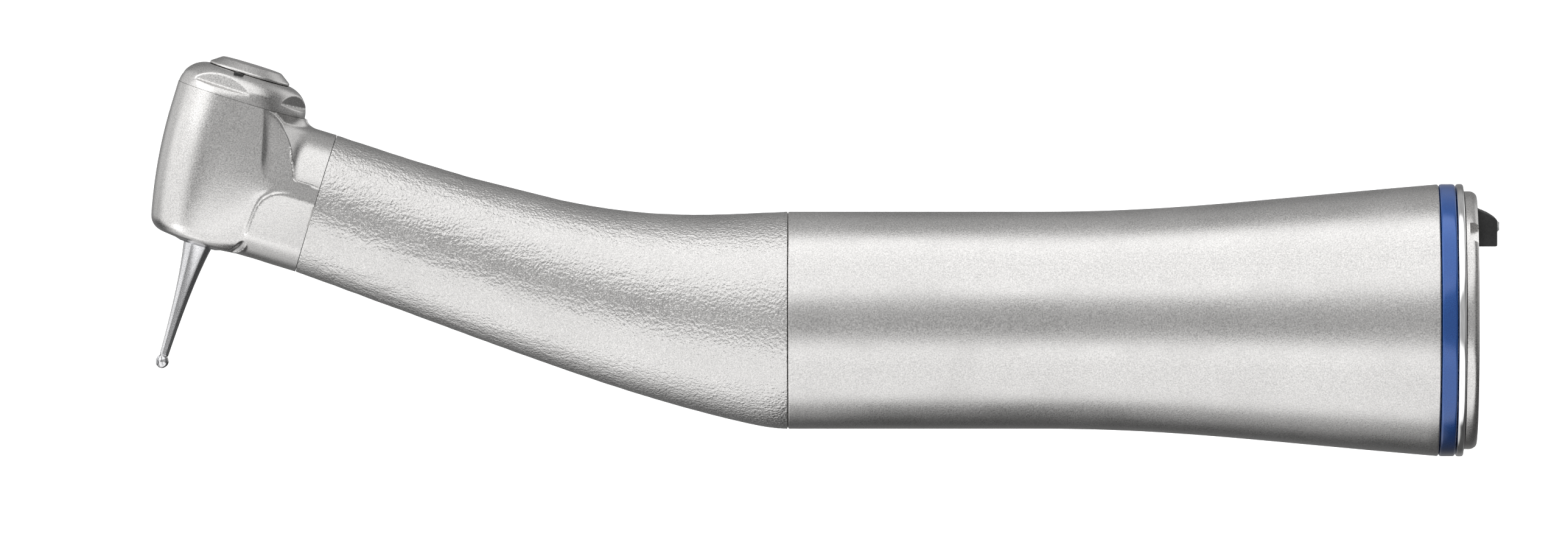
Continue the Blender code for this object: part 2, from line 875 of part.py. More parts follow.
def make_rear_shaft(rear):
    """The rear shaft, its bend gear and bearings, and the sprung dog that the motor drives."""
    gear_end = BEND_X + 0.65
    shaft = turned(
        "rear_shaft",
        [
            (gear_end, 0),
            (gear_end, 1.18),
            (BEND_X + 2.3, 1.18),
            (BEND_X + 2.32, 1.48),
            (BEND_X + 4.6, 1.48),
            (BEND_X + 4.62, 1.85),
            (-32.55, 1.85),
            (-32.53, 1.48),
            (-20.75, 1.48),
            (-20.7, 1.4),
            (-20.7, 0),
        ],
        rear,
        "gear",
        SMALL,
    )
    merge(shaft, [rod("pin_hole", (-3, 0, PIN_X), (3, 0, PIN_X), 0.43, rear, 12)])
    bend_gear("rear_shaft_bend_gear", rear, BEND_X, 1, 0.0, 1.2, 2.2)
    bearing("rear_bearing_a", rear, BEND_X + 2.37, 2.2, 1.5, 3.0)
    bearing("rear_bearing_b", rear, -32.5, 2.2, 1.5, 3.0)
    pin = rod("clutch_pin", (-2.3, 0, PIN_X), (2.3, 0, PIN_X), 0.4, rear, 12)
    finish_piece(pin, "polished")
    coil("clutch_spring", 1.84, 0.2, -29.9, -24.5, 5, rear, "polished")
    dog = turned(
        "drive_dog",
        [
            (-24.2, 1.54),
            (-24.2, 2.4),
            (-18.6, 2.4),
            (-18.4, 2.2),
            (-18.4, 0),
            (-19.4, 0),
            (-19.4, 1.54),
        ],
        rear,
        "gear",
        SMALL,
    )
    merge(dog, [block("tang", (-1.8, 1.8), (-0.55, 0.55), (-18.6, -DOG_DEPTH), rear)], "UNION")
    slot = (PIN_X - 0.47, PIN_X + 0.5 + DOG_STROKE)
    merge(dog, [block("pin_slot", (-4, 4), (-0.46, 0.46), slot, rear)])


def make_rear_bearing_housing(rear):
    step = BEND_X + 2.2
    housing = turned(
        "rear_bearing_housing",
        [
            (BEND_X + 0.95, 3.9),
            (BEND_X + 0.95, 3.35),
            (step, 3.35),
            (step, 3.04),
            (BEND_X + 4.65, 3.04),
            (BEND_X + 4.65, 2.3),
            (-32.6, 2.3),
            (-32.6, 3.04),
            (-30.2, 3.04),
            (-30.2, 2.5),
            (-28.2, 2.5),
            (-28.2, LINER_R),
            (-29.6, LINER_R),
            (-29.6, 3.6),
            (BEND_X + 3.0, 3.6),
            (BEND_X + 3.0, 3.9),
        ],
        rear,
        "brass",
        SMALL,
    )
    for name, path, radius in (
        ("guide_gap", guide_path(), GUIDE_R),
        ("tube_gap", tube_path(), TUBE_R),
    ):
        near = [p for p in path if -34 < p[0] - DOG_DEPTH < -20]
        merge(housing, [wire(name, near, radius + PIPE_GAP, None, "glass")])


# ---------------------------------------------------------------- light guide and water tube


def smooth(u):
    u = min(1.0, max(0.0, u))
    return u * u * (3 - 2 * u)


def spine(distance):
    """A point and its up direction on the shafts' line, by distance from the bend, + to the motor."""
    lean = 6.0
    front = Vector((-math.cos(BEND_ANGLE), 0, math.sin(BEND_ANGLE)))
    if distance >= lean:
        point, tilt = Vector((distance, 0, 0)), 0.0
    elif distance <= -lean:
        point, tilt = -distance * front, BEND_ANGLE
    else:
        u = (lean - distance) / (2 * lean)
        point = (1 - u) ** 2 * Vector((lean, 0, 0)) + u * u * lean * front
        tilt = BEND_ANGLE * u
    up = Vector((math.sin(tilt), 0, math.cos(tilt)))
    return point + Vector((DOG_DEPTH + BEND_X, 0, 0)), up


def round_the_bend(start_x, start_r, turn, steps=16):
    """World points, in millimetres, of a pipe that winds half a turn round the shafts."""
    first, last = start_x - BEND_X, 12.0 - HEAD_ARM
    points = []
    for i in range(steps + 1):
        u = i / steps
        centre, up = spine(first + (last - first) * u)
        radius = PIPE_PITCH_R + (start_r - PIPE_PITCH_R) * (1 - u) ** 1.3
        angle = turn + math.pi * smooth(u)
        points.append(
            centre + radius * (math.cos(angle) * up - math.sin(angle) * Vector((0, 1, 0)))
        )
    return points


def in_neck(s, w, side=0.0):
    """World point, in millimetres, at s along the neck, w up and side towards -Y."""
    centre, up = spine(s - HEAD_ARM)
    return centre + w * up - Vector((0, side, 0))


def pipe(rear_points, bend_points, front_points, rear_only, front_only):
    if rear_only:
        return rear_points + bend_points[:1]
    if front_only:
        return [bend_points[-1], *front_points]
    return rear_points + bend_points + front_points


def guide_path(rear_only=False, front_only=False):
    """The glass rod: from the coupling face, over to the underside of the neck beside the bur."""
    rear_points = [
        Vector((x + DOG_DEPTH, 0, z)) for x, z in ((1.3, 6.95), (-9, 6.95), (-20, 6.35))
    ]
    end = in_neck(4.3, -5.25) if front_only else in_neck(4.56, -5.05)
    front_points = [in_neck(6.4, -PIPE_PITCH_R), end]
    return pipe(rear_points, round_the_bend(-28.6, 6.35, 0.0), front_points, rear_only, front_only)


def tube_path(rear_only=False, front_only=False):
    """The water tube, from the motor nose bore to the side of the head's neck."""
    turn = math.radians(70)
    side = Vector((0, -math.sin(turn), math.cos(turn)))
    rear_points = [
        Vector((DOG_DEPTH + x, 0, 0)) + r * side for x, r in ((-15.6, 5.4), (-17, 6.3), (-20, 6.35))
    ]
    angle = turn + math.pi
    where = (PIPE_PITCH_R * math.cos(angle), PIPE_PITCH_R * math.sin(angle))
    front_points = [in_neck(6.0, *where)]
    if front_only:
        front_points.append(in_neck(5.2, 1.6 * where[0], 1.6 * where[1]))
    if not rear_only and not front_only:
        rear_points = rear_points[1:]
    return pipe(rear_points, round_the_bend(-28.6, 6.35, turn), front_points, rear_only, front_only)


def make_pipes():
    wire("light_guide", guide_path(), GUIDE_R, None, "glass")
    wire("water_tube", tube_path(), TUBE_R, None, "polished")


# ---------------------------------------------------------------- assembly


def main():
    clear_scene()
    along_neck = (math.cos(BEND_ANGLE), 0, -math.sin(BEND_ANGLE))
    up_head = (math.sin(BEND_ANGLE), 0, math.cos(BEND_ANGLE))
    bend = Vector((DOG_DEPTH + BEND_X, 0, 0))
    head_centre = bend - HEAD_ARM * Vector(along_neck)
    rear = frame_empty("coupling_face", (DOG_DEPTH, 0, 0), (1, 0, 0), (0, 0, 1))
    neck = frame_empty("neck_axis", head_centre, along_neck, up_head)
    head = frame_empty("head_axis", head_centre, up_head, along_neck)
    bpy.context.view_layer.update()

    make_grip_sleeve(rear)
    make_collar(rear)
    make_coupling_liner(rear)
    make_light_guide_holder(rear)
    make_neck_sleeve(rear)
    make_rear_bearing_housing(rear)
    make_rear_shaft(rear)
    make_front_shaft(neck)
    make_head_housing(head, neck)
    make_head_cap(head)
    make_push_button(head)
    make_spindle(head)
    bearing("upper_head_bearing", head, 3.0, 2.0, 1.75, 3.2)
    bearing("lower_head_bearing", head, -4.78, 2.0, 1.75, 3.2)
    turned(
        "lower_seal_washer",
        [(-4.97, 2.05), (-4.97, 3.18), (-4.86, 3.18), (-4.86, 2.05)],
        head,
        "black",
        SMALL,
    )
    make_bur(head)
    make_pipes()


main()
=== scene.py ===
"""Looks of the contra angle handpiece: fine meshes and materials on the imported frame.

Lengths are in millimetres and become metres through MM. There are two local frames. REAR has its
origin at the coupling face and its Z backwards along the rear shaft. HEAD has its origin at the head's
centre, its Z up the spindle and its X along the neck, away from the head.
"""

import json
import math

import bmesh
import bpy
import numpy as np
from mathutils import Matrix, Vector, noise


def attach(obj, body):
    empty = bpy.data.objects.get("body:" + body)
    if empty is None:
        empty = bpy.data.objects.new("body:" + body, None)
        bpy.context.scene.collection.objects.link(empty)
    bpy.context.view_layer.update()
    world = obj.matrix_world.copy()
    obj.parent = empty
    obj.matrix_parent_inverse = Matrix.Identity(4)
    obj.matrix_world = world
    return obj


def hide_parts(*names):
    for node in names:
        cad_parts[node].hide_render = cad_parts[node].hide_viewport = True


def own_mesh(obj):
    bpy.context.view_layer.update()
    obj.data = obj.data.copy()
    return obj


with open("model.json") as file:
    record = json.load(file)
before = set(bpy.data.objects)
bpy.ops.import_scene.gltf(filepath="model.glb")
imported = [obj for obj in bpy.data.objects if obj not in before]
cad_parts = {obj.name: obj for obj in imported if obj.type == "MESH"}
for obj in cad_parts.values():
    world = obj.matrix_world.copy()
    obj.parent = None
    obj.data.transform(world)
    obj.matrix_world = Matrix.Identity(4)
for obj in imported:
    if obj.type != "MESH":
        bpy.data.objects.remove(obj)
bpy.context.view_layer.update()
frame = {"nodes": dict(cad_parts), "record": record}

MM = 0.001
JOINTS = {joint["name"]: joint for joint in frame["record"]["behaviour"]["joints"]}
MOUNTS = {mount["name"]: mount for mount in frame["record"]["mounts"]}

ALONG_NECK = Vector(JOINTS["front_shaft_spin"]["axis"])
UP_HEAD = Vector(JOINTS["spindle_spin"]["axis"])
HEAD_CENTRE = Vector(JOINTS["spindle_spin"]["pos_m"]) / MM
BEND = math.atan2(UP_HEAD.x, UP_HEAD.z)
FACE_X = MOUNTS["rear_coupling_face"]["pos_m"][0] / MM

NECK_R = 5.29
GRIP_R = 8.05
COLLAR_R = 10.1
GRIP_FRONT = -51.06  # in the REAR frame, as all lengths along the grip
GRIP_REAR = -2.84
GUIDE_HOLE_R = 0.63
GUIDE_HEIGHT = 6.95  # of the light guide above the axis at the coupling face

TURNED_STEPS = 192
COLLAR_STEPS = 256
EDGE_ANGLE = 35  # edges that turn by more than this many degrees are shaded sharp
CUT_EDGE_ANGLE = 30  # the same on pieces that were cut
TINY = 1e-6


# ---------------------------------------------------------------- frames and meshes


def axes(origin, along, up):
    """A matrix whose local Z runs along one direction and local X up another, in metres."""
    z, x = Vector(along).normalized(), Vector(up).normalized()
    turn = Matrix((x, z.cross(x), z)).transposed().to_4x4()
    return Matrix.Translation(Vector(origin) * MM) @ turn @ Matrix.Diagonal((MM, MM, MM, 1))


REAR = axes((FACE_X, 0, 0), (1, 0, 0), (0, 0, 1))
HEAD = axes(HEAD_CENTRE, UP_HEAD, ALONG_NECK)


def add_object(name, mesh, sharp=EDGE_ANGLE):
    """A smooth shaded object with sharp edges where its mesh turns by more than sharp degrees."""
    mesh.shade_smooth()
    mesh.set_sharp_from_angle(angle=math.radians(sharp))
    obj = bpy.data.objects.new(name, mesh)
    bpy.context.scene.collection.objects.link(obj)
    return obj


def add_mesh(name, points, faces, matrix, sharp=EDGE_ANGLE):
    """A mesh object from points in millimetres in a local frame, placed in world space."""
    mesh = bpy.data.meshes.new(name)
    mesh.from_pydata([tuple(p) for p in points], [], [tuple(f) for f in faces])
    mesh.transform(matrix)
    mesh.update()
    return add_object(name, mesh, sharp)


def mesh_from(bm, name):
    """A mesh from a bmesh, which is freed."""
    mesh = bpy.data.meshes.new(name)
    bm.to_mesh(mesh)
    bm.free()
    return mesh


def dress(obj, body, slot, material, *nodes):
    """Rides the piece on a body, gives it a finish and lets it stand for CAD nodes."""
    obj.data.materials.clear()
    obj.data.materials.append(material)
    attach(obj, body)
    if nodes:
        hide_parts(*nodes)


def circle(count):
    """Cosine and sine of each of count angles round a turn."""
    angles = [2 * math.pi * i / count for i in range(count)]
    return [(math.cos(angle), math.sin(angle)) for angle in angles]


def skin(rows):
    """Faces between rings of point numbers. A ring of one repeated number is a point on the axis."""
    faces = []
    for low, high in zip(rows, rows[1:]):
        for i in range(len(low)):
            j = (i + 1) % len(low)
            face = list(dict.fromkeys((low[i], low[j], high[j], high[i])))
            if len(face) > 2:
                faces.append(face)
    return faces


def rounded(profile, radius, steps=4):
    """A closed outline with its corners rounded by radius, or by a point's own third value."""
    points = []
    count = len(profile)
    for i in range(count):
        here = Vector(profile[i][:2])
        before, after = Vector(profile[i - 1][:2]), Vector(profile[(i + 1) % count][:2])
        into, out = before - here, after - here
        size = profile[i][2] if len(profile[i]) > 2 else radius
        size = min(size, 0.45 * into.length, 0.45 * out.length)
        straight = abs(into.angle(out) - math.pi) < 0.12
        if size < 1e-4 or straight or here.y < TINY:
            points.append(here)
            continue
        start, end = here + size * into.normalized(), here + size * out.normalized()
        for j in range(steps + 1):
            t = j / steps
            points.append((1 - t) ** 2 * start + 2 * t * (1 - t) * here + t * t * end)
    return points


def turned(name, profile, matrix, steps=TURNED_STEPS, radius=0.04):
    """A turned piece from a closed (axial, radius) outline, its corners slightly rounded."""
    outline = rounded(profile, radius)
    points, rows = [], []
    for point in outline:
        if point.y < TINY:
            rows.append([len(points)] * steps)
            points.append((0.0, 0.0, point.x))
            continue
        rows.append(list(range(len(points), len(points) + steps)))
        points += [(point.y * across, point.y * up, point.x) for across, up in circle(steps)]
    faces = skin(rows + rows[:1])
    area = sum(a.x * b.y - b.x * a.y for a, b in zip(outline, outline[1:] + outline[:1]))
    if area > 0:
        faces = [face[::-1] for face in faces]
    return add_mesh(name, points, faces, matrix)


def prism(name, outline, low, high, matrix, rise=2, bevel=0.05):
    """An outline extruded from low to high along local axis rise (0 is X), its edges bevelled."""
    bm = bmesh.new()

    def at(point, level):
        coords = list(point)
        coords.insert(rise, level)
        return bm.verts.new(coords)

    bottom, top = [at(p, low) for p in outline], [at(p, high) for p in outline]
    bm.faces.new(bottom)
    bm.faces.new(top[::-1])
    for i in range(len(outline)):
        j = (i + 1) % len(outline)
        bm.faces.new((bottom[j], bottom[i], top[i], top[j]))
    bmesh.ops.recalc_face_normals(bm, faces=bm.faces)
    if bevel:
        bmesh.ops.bevel(bm, geom=bm.edges[:], offset=bevel, segments=3, affect="EDGES", profile=0.5)
    mesh = mesh_from(bm, name)
    mesh.transform(matrix)
    return add_object(name, mesh)


def plate(name, x, y, z, matrix, bevel=0.0):
    """A prism with a rectangular outline, from its lowest and highest x, y and z."""
    outline = [(x[0], y[0]), (x[1], y[0]), (x[1], y[1]), (x[0], y[1])]
    return prism(name, outline, *z, matrix, bevel=bevel)


def combine(piece, others, operation):
    """Cuts other pieces from a piece or joins them to it, and removes them."""
    for other in others:
        modifier = piece.modifiers.new(operation, "BOOLEAN")
        modifier.operation = operation
        modifier.object = other
        modifier.solver = "EXACT"
        bpy.context.view_layer.update()
        graph = bpy.context.evaluated_depsgraph_get()
        result = bpy.data.meshes.new_from_object(piece.evaluated_get(graph))
        piece.modifiers.clear()
        piece.data = result
        bpy.data.objects.remove(other)
    piece.data.shade_smooth()
    piece.data.set_sharp_from_angle(angle=math.radians(CUT_EDGE_ANGLE))


def tube(name, path, radius, matrix, sides=24, smooth=4):
    """A round rod along a path, with smooth steps between two of its points."""
    points = [Vector(p) for p in path]
    if smooth > 1:
        points = catmull(points, smooth)
    verts, rows = [], []
    side = None
    for i, point in enumerate(points):
        ahead, behind = points[min(i + 1, len(points) - 1)], points[max(i - 1, 0)]
        along = (ahead - behind).normalized()
        side = along.orthogonal() if side is None else side - along * side.dot(along)
        side.normalize()
        other = along.cross(side)
        rows.append(list(range(len(verts), len(verts) + sides)))
        verts += [point + radius * (across * side + up * other) for across, up in circle(sides)]
    ends = [rows[0][::-1], rows[-1]]
    return add_mesh(name, verts, skin(rows) + ends, matrix)


def catmull(points, steps):
    """A smooth path through the points, by a Catmull-Rom spline with steps between two points."""
    result = []
    for i in range(len(points) - 1):
        a, b = points[max(i - 1, 0)], points[i]
        c, d = points[i + 1], points[min(i + 2, len(points) - 1)]
        for j in range(steps):
            t = j / steps
            curved = (2 * a - 5 * b + 4 * c - d) * t * t + (3 * b - a - 3 * c + d) * t ** 3
            result.append(0.5 * (2 * b + (c - a) * t + curved))
    return result + [points[-1]]


# ---------------------------------------------------------------- solids as distance functions


def soft_max(a, b, size):
    """The greater of two distances, with their meeting edge rounded over about size."""
    blend = np.maximum(size - np.abs(a - b), 0) / size
    return np.maximum(a, b) + blend * blend * size / 4


def soft_min(a, b, size):
    """The lesser of two distances, with their meeting edge filled over about size."""
    return -soft_max(-a, -b, size)


def fade(x, start, end):
    """Smooth step from 0 at start to 1 at end."""
    t = np.clip((x - start) / (end - start), 0, 1)
    return t * t * (3 - 2 * t)


def curve(x, table):
    """A smooth curve through a table of (x, y) points."""
    xs, ys = np.array(table, float).T
    slopes = np.gradient(ys, xs)
    x = np.clip(x, xs[0], xs[-1])
    i = np.clip(np.searchsorted(xs, x) - 1, 0, len(xs) - 2)
    h = xs[i + 1] - xs[i]
    t = (x - xs[i]) / h
    return (
        (1 + 2 * t) * (1 - t) ** 2 * ys[i]
        + t * (1 - t) ** 2 * h * slopes[i]
        + t * t * (3 - 2 * t) * ys[i + 1]
        + t * t * (t - 1) * h * slopes[i + 1]
    )


def to_line(x, y, line):
    """Signed distance to an open line in a plane, positive on its left."""
    best, sign = np.full(np.shape(x), np.inf), np.ones(np.shape(x))
    for (ax, ay), (bx, by) in zip(line, line[1:]):
        dx, dy = bx - ax, by - ay
        t = np.clip(((x - ax) * dx + (y - ay) * dy) / (dx * dx + dy * dy), 0, 1)
        gap = np.hypot(x - ax - t * dx, y - ay - t * dy)
        side = np.where(dx * (y - ay) - dy * (x - ax) > 0, 1.0, -1.0)
        nearer = gap < best
        best, sign = np.where(nearer, gap, best), np.where(nearer, side, sign)
    return best * sign


def to_rod(p, start, end, radius):
    """Signed distance to a rod with round ends, p being three coordinate arrays."""
    start, end = np.array(start, float), np.array(end, float)
    along = end - start
    gaps = [p[i] - start[i] for i in range(3)]
    t = np.clip(sum(g * a for g, a in zip(gaps, along)) / along.dot(along), 0, 1)
    return np.sqrt(sum((g - t * a) ** 2 for g, a in zip(gaps, along))) - radius


SLOPE_REACH = 0.004  # how far to either side a slope is measured


def net_of(solid, low, high, step):
    """Points and quads on the surface where solid(x, y, z) is 0, by surface nets.

    Each grid cell that the surface passes through has one point, the mean of its crossings with the
    cell's edges. Each grid edge that is crossed has one quad, between its four cells.
    """
    lines = [np.arange(a, b + step, step) for a, b in zip(low, high)]
    values = solid(*np.meshgrid(*lines, indexing="ij", sparse=True))
    cells = np.array(values.shape) - 1
    total, count = np.zeros((cells.prod(), 3)), np.zeros(cells.prod())
    quads = []
    for axis in range(3):
        a = np.moveaxis(np.moveaxis(values, axis, 0)[:-1], 0, axis)
        b = np.moveaxis(np.moveaxis(values, axis, 0)[1:], 0, axis)
        cross = (a < 0) != (b < 0)
        index = np.argwhere(cross)
        first, second = a[cross], b[cross]
        spots = index.astype(float)
        spots[:, axis] += first / (first - second)
        u, v = (axis + 1) % 3, (axis + 2) % 3
        corners = []
        for du, dv in ((0, 0), (1, 0), (1, 1), (0, 1)):
            cell = index.copy()
            cell[:, u] -= du
            cell[:, v] -= dv
            flat = np.ravel_multi_index(cell.T, cells)
            for k in range(3):
                total[:, k] += np.bincount(flat, spots[:, k], len(total))
            count += np.bincount(flat, minlength=len(count))
            corners.append(flat)
        quad = np.stack(corners, 1)
        quad[first > 0] = quad[first > 0][:, ::-1]
        quads.append(quad)
    used = count > 0
    number = np.cumsum(used) - 1
    points = total[used] / count[used][:, None] * step + np.array(low)
    return points, number[np.concatenate(quads)]


def slope_of(solid, points, directions=(0, 1, 2)):
    """How solid changes along the given axes at the points."""
    slope = np.zeros_like(points)
    for k in directions:
        d = np.eye(3)[k] * SLOPE_REACH
        slope[:, k] = (solid(*(points + d).T) - solid(*(points - d).T)) / (2 * SLOPE_REACH)
    return slope


def settle(points, quads, solid, step, rounds=4):
    """Evens out the points and moves them onto the surface."""
    links = np.concatenate([quads[:, [i, (i + 1) % 4]] for i in range(4)])
    ends = np.bincount(links[:, 0], minlength=len(points))[:, None]
    for turn in range(rounds):
        if turn < rounds - 1:
            mean = np.stack(
                [np.bincount(links[:, 0], points[links[:, 1], k], len(points)) for k in range(3)], 1
            )
            points = points + 0.5 * (mean / np.maximum(ends, 1) - points)
        for _ in range(2):
            value, slope = solid(*points.T), slope_of(solid, points)
            size = np.maximum((slope ** 2).sum(1), 0.05)
            move = -(value / size)[:, None] * slope
            far = np.maximum(np.linalg.norm(move, axis=1) / (0.7 * step), 1)[:, None]
            points = points + move / far
    return points


def clean(mesh, reach):
    """Merges points closer than reach, in millimetres, and drops what collapses."""
    bm = bmesh.new()
    bm.from_mesh(mesh)
    bmesh.ops.remove_doubles(bm, verts=bm.verts[:], dist=reach * MM)
    bmesh.ops.dissolve_degenerate(bm, edges=bm.edges[:], dist=0.2 * reach * MM)
    bm.to_mesh(mesh)
    bm.free()


def sharpen(points, side, axis, level, reach):
    """Moves the points near the edge between a side surface and a flat face exactly onto it."""
    near = (np.abs(points[:, axis] - level) < reach) & (np.abs(side(*points.T)) < reach)
    edge = points[near]
    edge[:, axis] = level
    for _ in range(3):
        slope = slope_of(side, edge, {0, 1, 2} - {axis})
        size = np.maximum((slope ** 2).sum(1), 0.2)
        edge -= (side(*edge.T) / size)[:, None] * slope
    points[near] = edge


def solid_mesh(name, solid, low, high, step, matrix, side=None, flats=()):
    """A mesh of a solid. Where its side meets a flat, an (axis, level) pair, the edge is made sharp."""
    points, quads = net_of(solid, low, high, step)
    points = settle(points, quads, solid, step)
    for axis, level in flats:
        sharpen(points, side, axis, level, 0.95 * step)
    mesh = bpy.data.meshes.new(name)
    mesh.from_pydata(points.tolist(), [], quads.tolist())
    mesh.transform(matrix)
    clean(mesh, 0.02)
    return add_object(name, mesh, sharp=50)


# ---------------------------------------------------------------- head

# In the head's functions r runs along the neck, w up the spindle and c across, and y is the size of c,
# as both sides are alike. A side has a milled face that starts at EDGE_LINE and ends below RIDGE, and
# above RIDGE the turned form shows. RIDGE holds (r, w) points, and the other tables give a value by w.
# EDGE_LINE: r of the face's edge.
EDGE_LINE = ((-5.4, 1.9), (-5.1, 2.05), (-4.8, 2.25), (-4.35, 2.5), (-3.9, 2.63), (-3, 2.7), (-2, 2.79),
             (-1.2, 2.9), (-0.6, 3.08), (-0.1, 3.42), (0.4, 3.62), (0.8, 3.5), (1.1, 3.22), (1.45, 2.98),
             (2, 2.8), (3, 2.55), (4, 2.3), (5, 2.03), (5.6, 1.85), (6, 1.7))
RIDGE = ((2.2, 5.85), (2.7, 5.66), (3.1, 5.42), (3.5, 5.1), (3.85, 4.72), (4.15, 4.3), (4.42, 3.8),
         (4.64, 3.3), (4.83, 2.8), (5.02, 2.35), (5.2, 1.95), (5.34, 1.62), (5.44, 1.48), (5.6, 1.4),
         (5.9, 1.37), (9, 1.33))
# FULLNESS: how many times the body is drawn out towards the neck.
FULLNESS = ((-5.4, 1.0), (-4.8, 1.2), (-4, 1.6), (-3, 2.0), (-2, 2.4), (-1, 2.8), (0.3, 3.2), (1.5, 2.9),
            (3, 2.6), (4.5, 2.5), (5.2, 2.3), (5.7, 2.0))
# FACE_STEP, FACE_WIDTH and FACE_END: the depth of the step down into the face, the width of the rise
# out of it, and the half width of the head that it rises to.
FACE_STEP = ((-5.4, 0.16), (-3, 0.12), (-1, 0.12), (-0.5, 0.1), (0.0, 0.02), (0.4, 0), (0.9, 0.03),
             (1.3, 0.13), (1.7, 0.21), (5.7, 0.24))
FACE_WIDTH = ((-5.4, 0.3), (-4.2, 0.4), (-3.6, 0.6), (-3, 0.8), (-1, 0.8), (0, 1.2), (0.5, 2.2),
              (1.4, 2.2), (3, 1.8), (5.7, 1.2))
FACE_END = ((-5.4, 1.5), (-5, 1.95), (-4.8, 2.25), (-4.5, 2.8), (-4, 3.5), (-3.5, 4.1), (-3, 4.4),
            (-2, 4.6), (-1, 4.72), (0, 4.74), (0.5, 4.7), (1.35, 4.66), (2, 4.62), (3, 4.56), (4, 4.5),
            (5, 4.42), (5.7, 4.35))
# CAP_PROFILE: radius of the cap's dome.
CAP_PROFILE = ((5.6, 4.87), (5.9, 4.86), (6.3, 4.78), (6.7, 4.64), (7.0, 4.42), (7.2, 4.23),
               (7.4, 3.97), (7.6, 3.55), (7.68, 3.3), (7.8, 2.9))
HEAD_TOP, HEAD_END = 5.755, 7.49  # flat faces towards the cap and towards the neck sleeve
BAND_TOP = 1.33  # where the flat of the neck ends under its round upper part
CAP_LOW, CAP_TOP = 5.775, 7.68
CAP_FLATS = 4
FLAT_R, FLAT_TURN = 4.16, -113  # spanner flats: distance from the axis, direction of the first
SPIGOT_R, SPIGOT_START, SPIGOT_END = 4.575, 5.025, 11.375
ROOM_R, CAP_THREAD_R, BUR_HOLE_R, SHAFT_HOLE_R = 3.4, 4.18, 2.05, 2.9
GUIDE_PATH, HEAD_GUIDE_R = ((12, 0, -3.72), (6.4, 0, -3.72), (4.2, 0, -5.35)), 0.6
WATER_PATH, WATER_R = ((12, -3.5, -1.27), (6.0, -3.5, -1.27), (5.1, -5.9, -2.14)), 0.45


def body_radius(w):
    """Radius of the head's turned body, largest near its top."""
    return 4.9 - 0.0137 * np.maximum(4 - w, 0) ** 2


def turned_body(r, y, w, stretch):
    """The head's body, round in front and drawn out towards the neck by stretch."""
    out = np.sqrt(np.where(r > 0, r / stretch, r) ** 2 + y * y)
    return soft_max(out - body_radius(w), -5.37 + 0.12 * (out - 2) - w, 0.9)


def side_height(r, w):
    """Half width of the milled side face that runs from the edge line to the neck."""
    edge, step = curve(w, EDGE_LINE), curve(w, FACE_STEP)
    start = np.sqrt(np.maximum(body_radius(w) ** 2 - (edge / curve(w, FULLNESS)) ** 2, 0.04))
    start = start - 1.5 * np.maximum(-4.55 - w, 0) ** 2
    away = np.maximum(r - edge, 0)
    fall = 1 - (1 - np.minimum(away / 0.8, 1)) ** 2
    rise = fade(away, 0.3, 0.3 + curve(w, FACE_WIDTH))
    height = start - step * fall + (curve(w, FACE_END) - start + step) * rise
    return height + 4 * np.maximum(edge - r, 0) + 1.5 * fade(away, 0.8, 1.7) * fade(-w, 3.2, 4.0)


def neck_limit(w):
    """Half width of the head's neck, flat above the middle and falling away below it."""
    below = np.maximum(0.1 - w, 0)
    return np.where(w > BAND_TOP, 9.0, 4.72 - 0.2 * below)


def head_side(r, c, w):
    """Outer surface of the housing before its flat faces are cut."""
    y = np.abs(c)
    tube_neck = np.sqrt(w * w + y * y) - NECK_R
    flat = soft_max(tube_neck, y - neck_limit(w), 0.03)
    low_side = np.maximum(np.where(w > BAND_TOP, -9.0, flat), curve(w, EDGE_LINE) - r)
    full = np.minimum(turned_body(r, y, w, curve(w, FULLNESS)), low_side)
    height = side_height(r, w)
    face = np.maximum(full, 0.8 * (y - height))
    bare = turned_body(r, y, w, 1.0)
    slope = 0.84 * (r - 5.0) + 0.545 * (y - np.sqrt(np.maximum(NECK_R ** 2 - w * w, 0)))
    upper = soft_min(np.minimum(bare, slope), tube_neck, 0.6 + 0.3 * fade(w, 4.4, 5.0))
    beyond = to_line(r, w, RIDGE)
    wing = soft_max(face, beyond - 0.06 * np.clip(height - y, 0, 3), 0.12 + 0.2 * fade(w, 1.6, 2.4))
    return np.minimum(wing, np.maximum(upper, np.minimum(face, -beyond)))


def head_outside(r, c, w):
    """The housing from outside, with the round spigot that goes into the neck sleeve."""
    whole = np.maximum(head_side(r, c, w), np.maximum(w - HEAD_TOP, r - HEAD_END))
    ends = np.maximum(r - SPIGOT_END, SPIGOT_START - r)
    return np.minimum(whole, np.maximum(np.sqrt(w * w + c * c) - SPIGOT_R, ends))


def channel(p, path, radius):
    """Distance to a round channel through the points of a path."""
    return np.minimum.reduce([to_rod(p, a, b, radius) for a, b in zip(path, path[1:])])


def head_inside(r, c, w):
    """Room for the spindle, the front shaft, the light guide and the water tube."""
    out = np.sqrt(r * r + c * c)
    wall = out - np.where(w > 2.9, CAP_THREAD_R, ROOM_R)
    room = np.maximum(soft_max(wall, -4.98 - w, 0.9), w - 6.5)
    mouth = np.maximum(out - BUR_HOLE_R, np.maximum(w, -6.2 - w))
    bore = np.maximum(np.sqrt(c * c + w * w) - SHAFT_HOLE_R, -r)
    guide = channel((r, c, w), GUIDE_PATH, HEAD_GUIDE_R)
    water = channel((r, c, w), WATER_PATH, WATER_R)
    return np.minimum.reduce([room, mouth, bore, guide, water])


def head_solid(x, y, z):
    """Head housing in the HEAD frame, whose y runs against c."""
    return np.maximum(head_outside(x, -y, z), -head_inside(x, -y, z))


def cap_side(x, y, z):
    """Outer surface of the cap, its distances scaled down where it is steep."""
    return 0.75 * (np.sqrt(x * x + y * y) - curve(z, CAP_PROFILE))


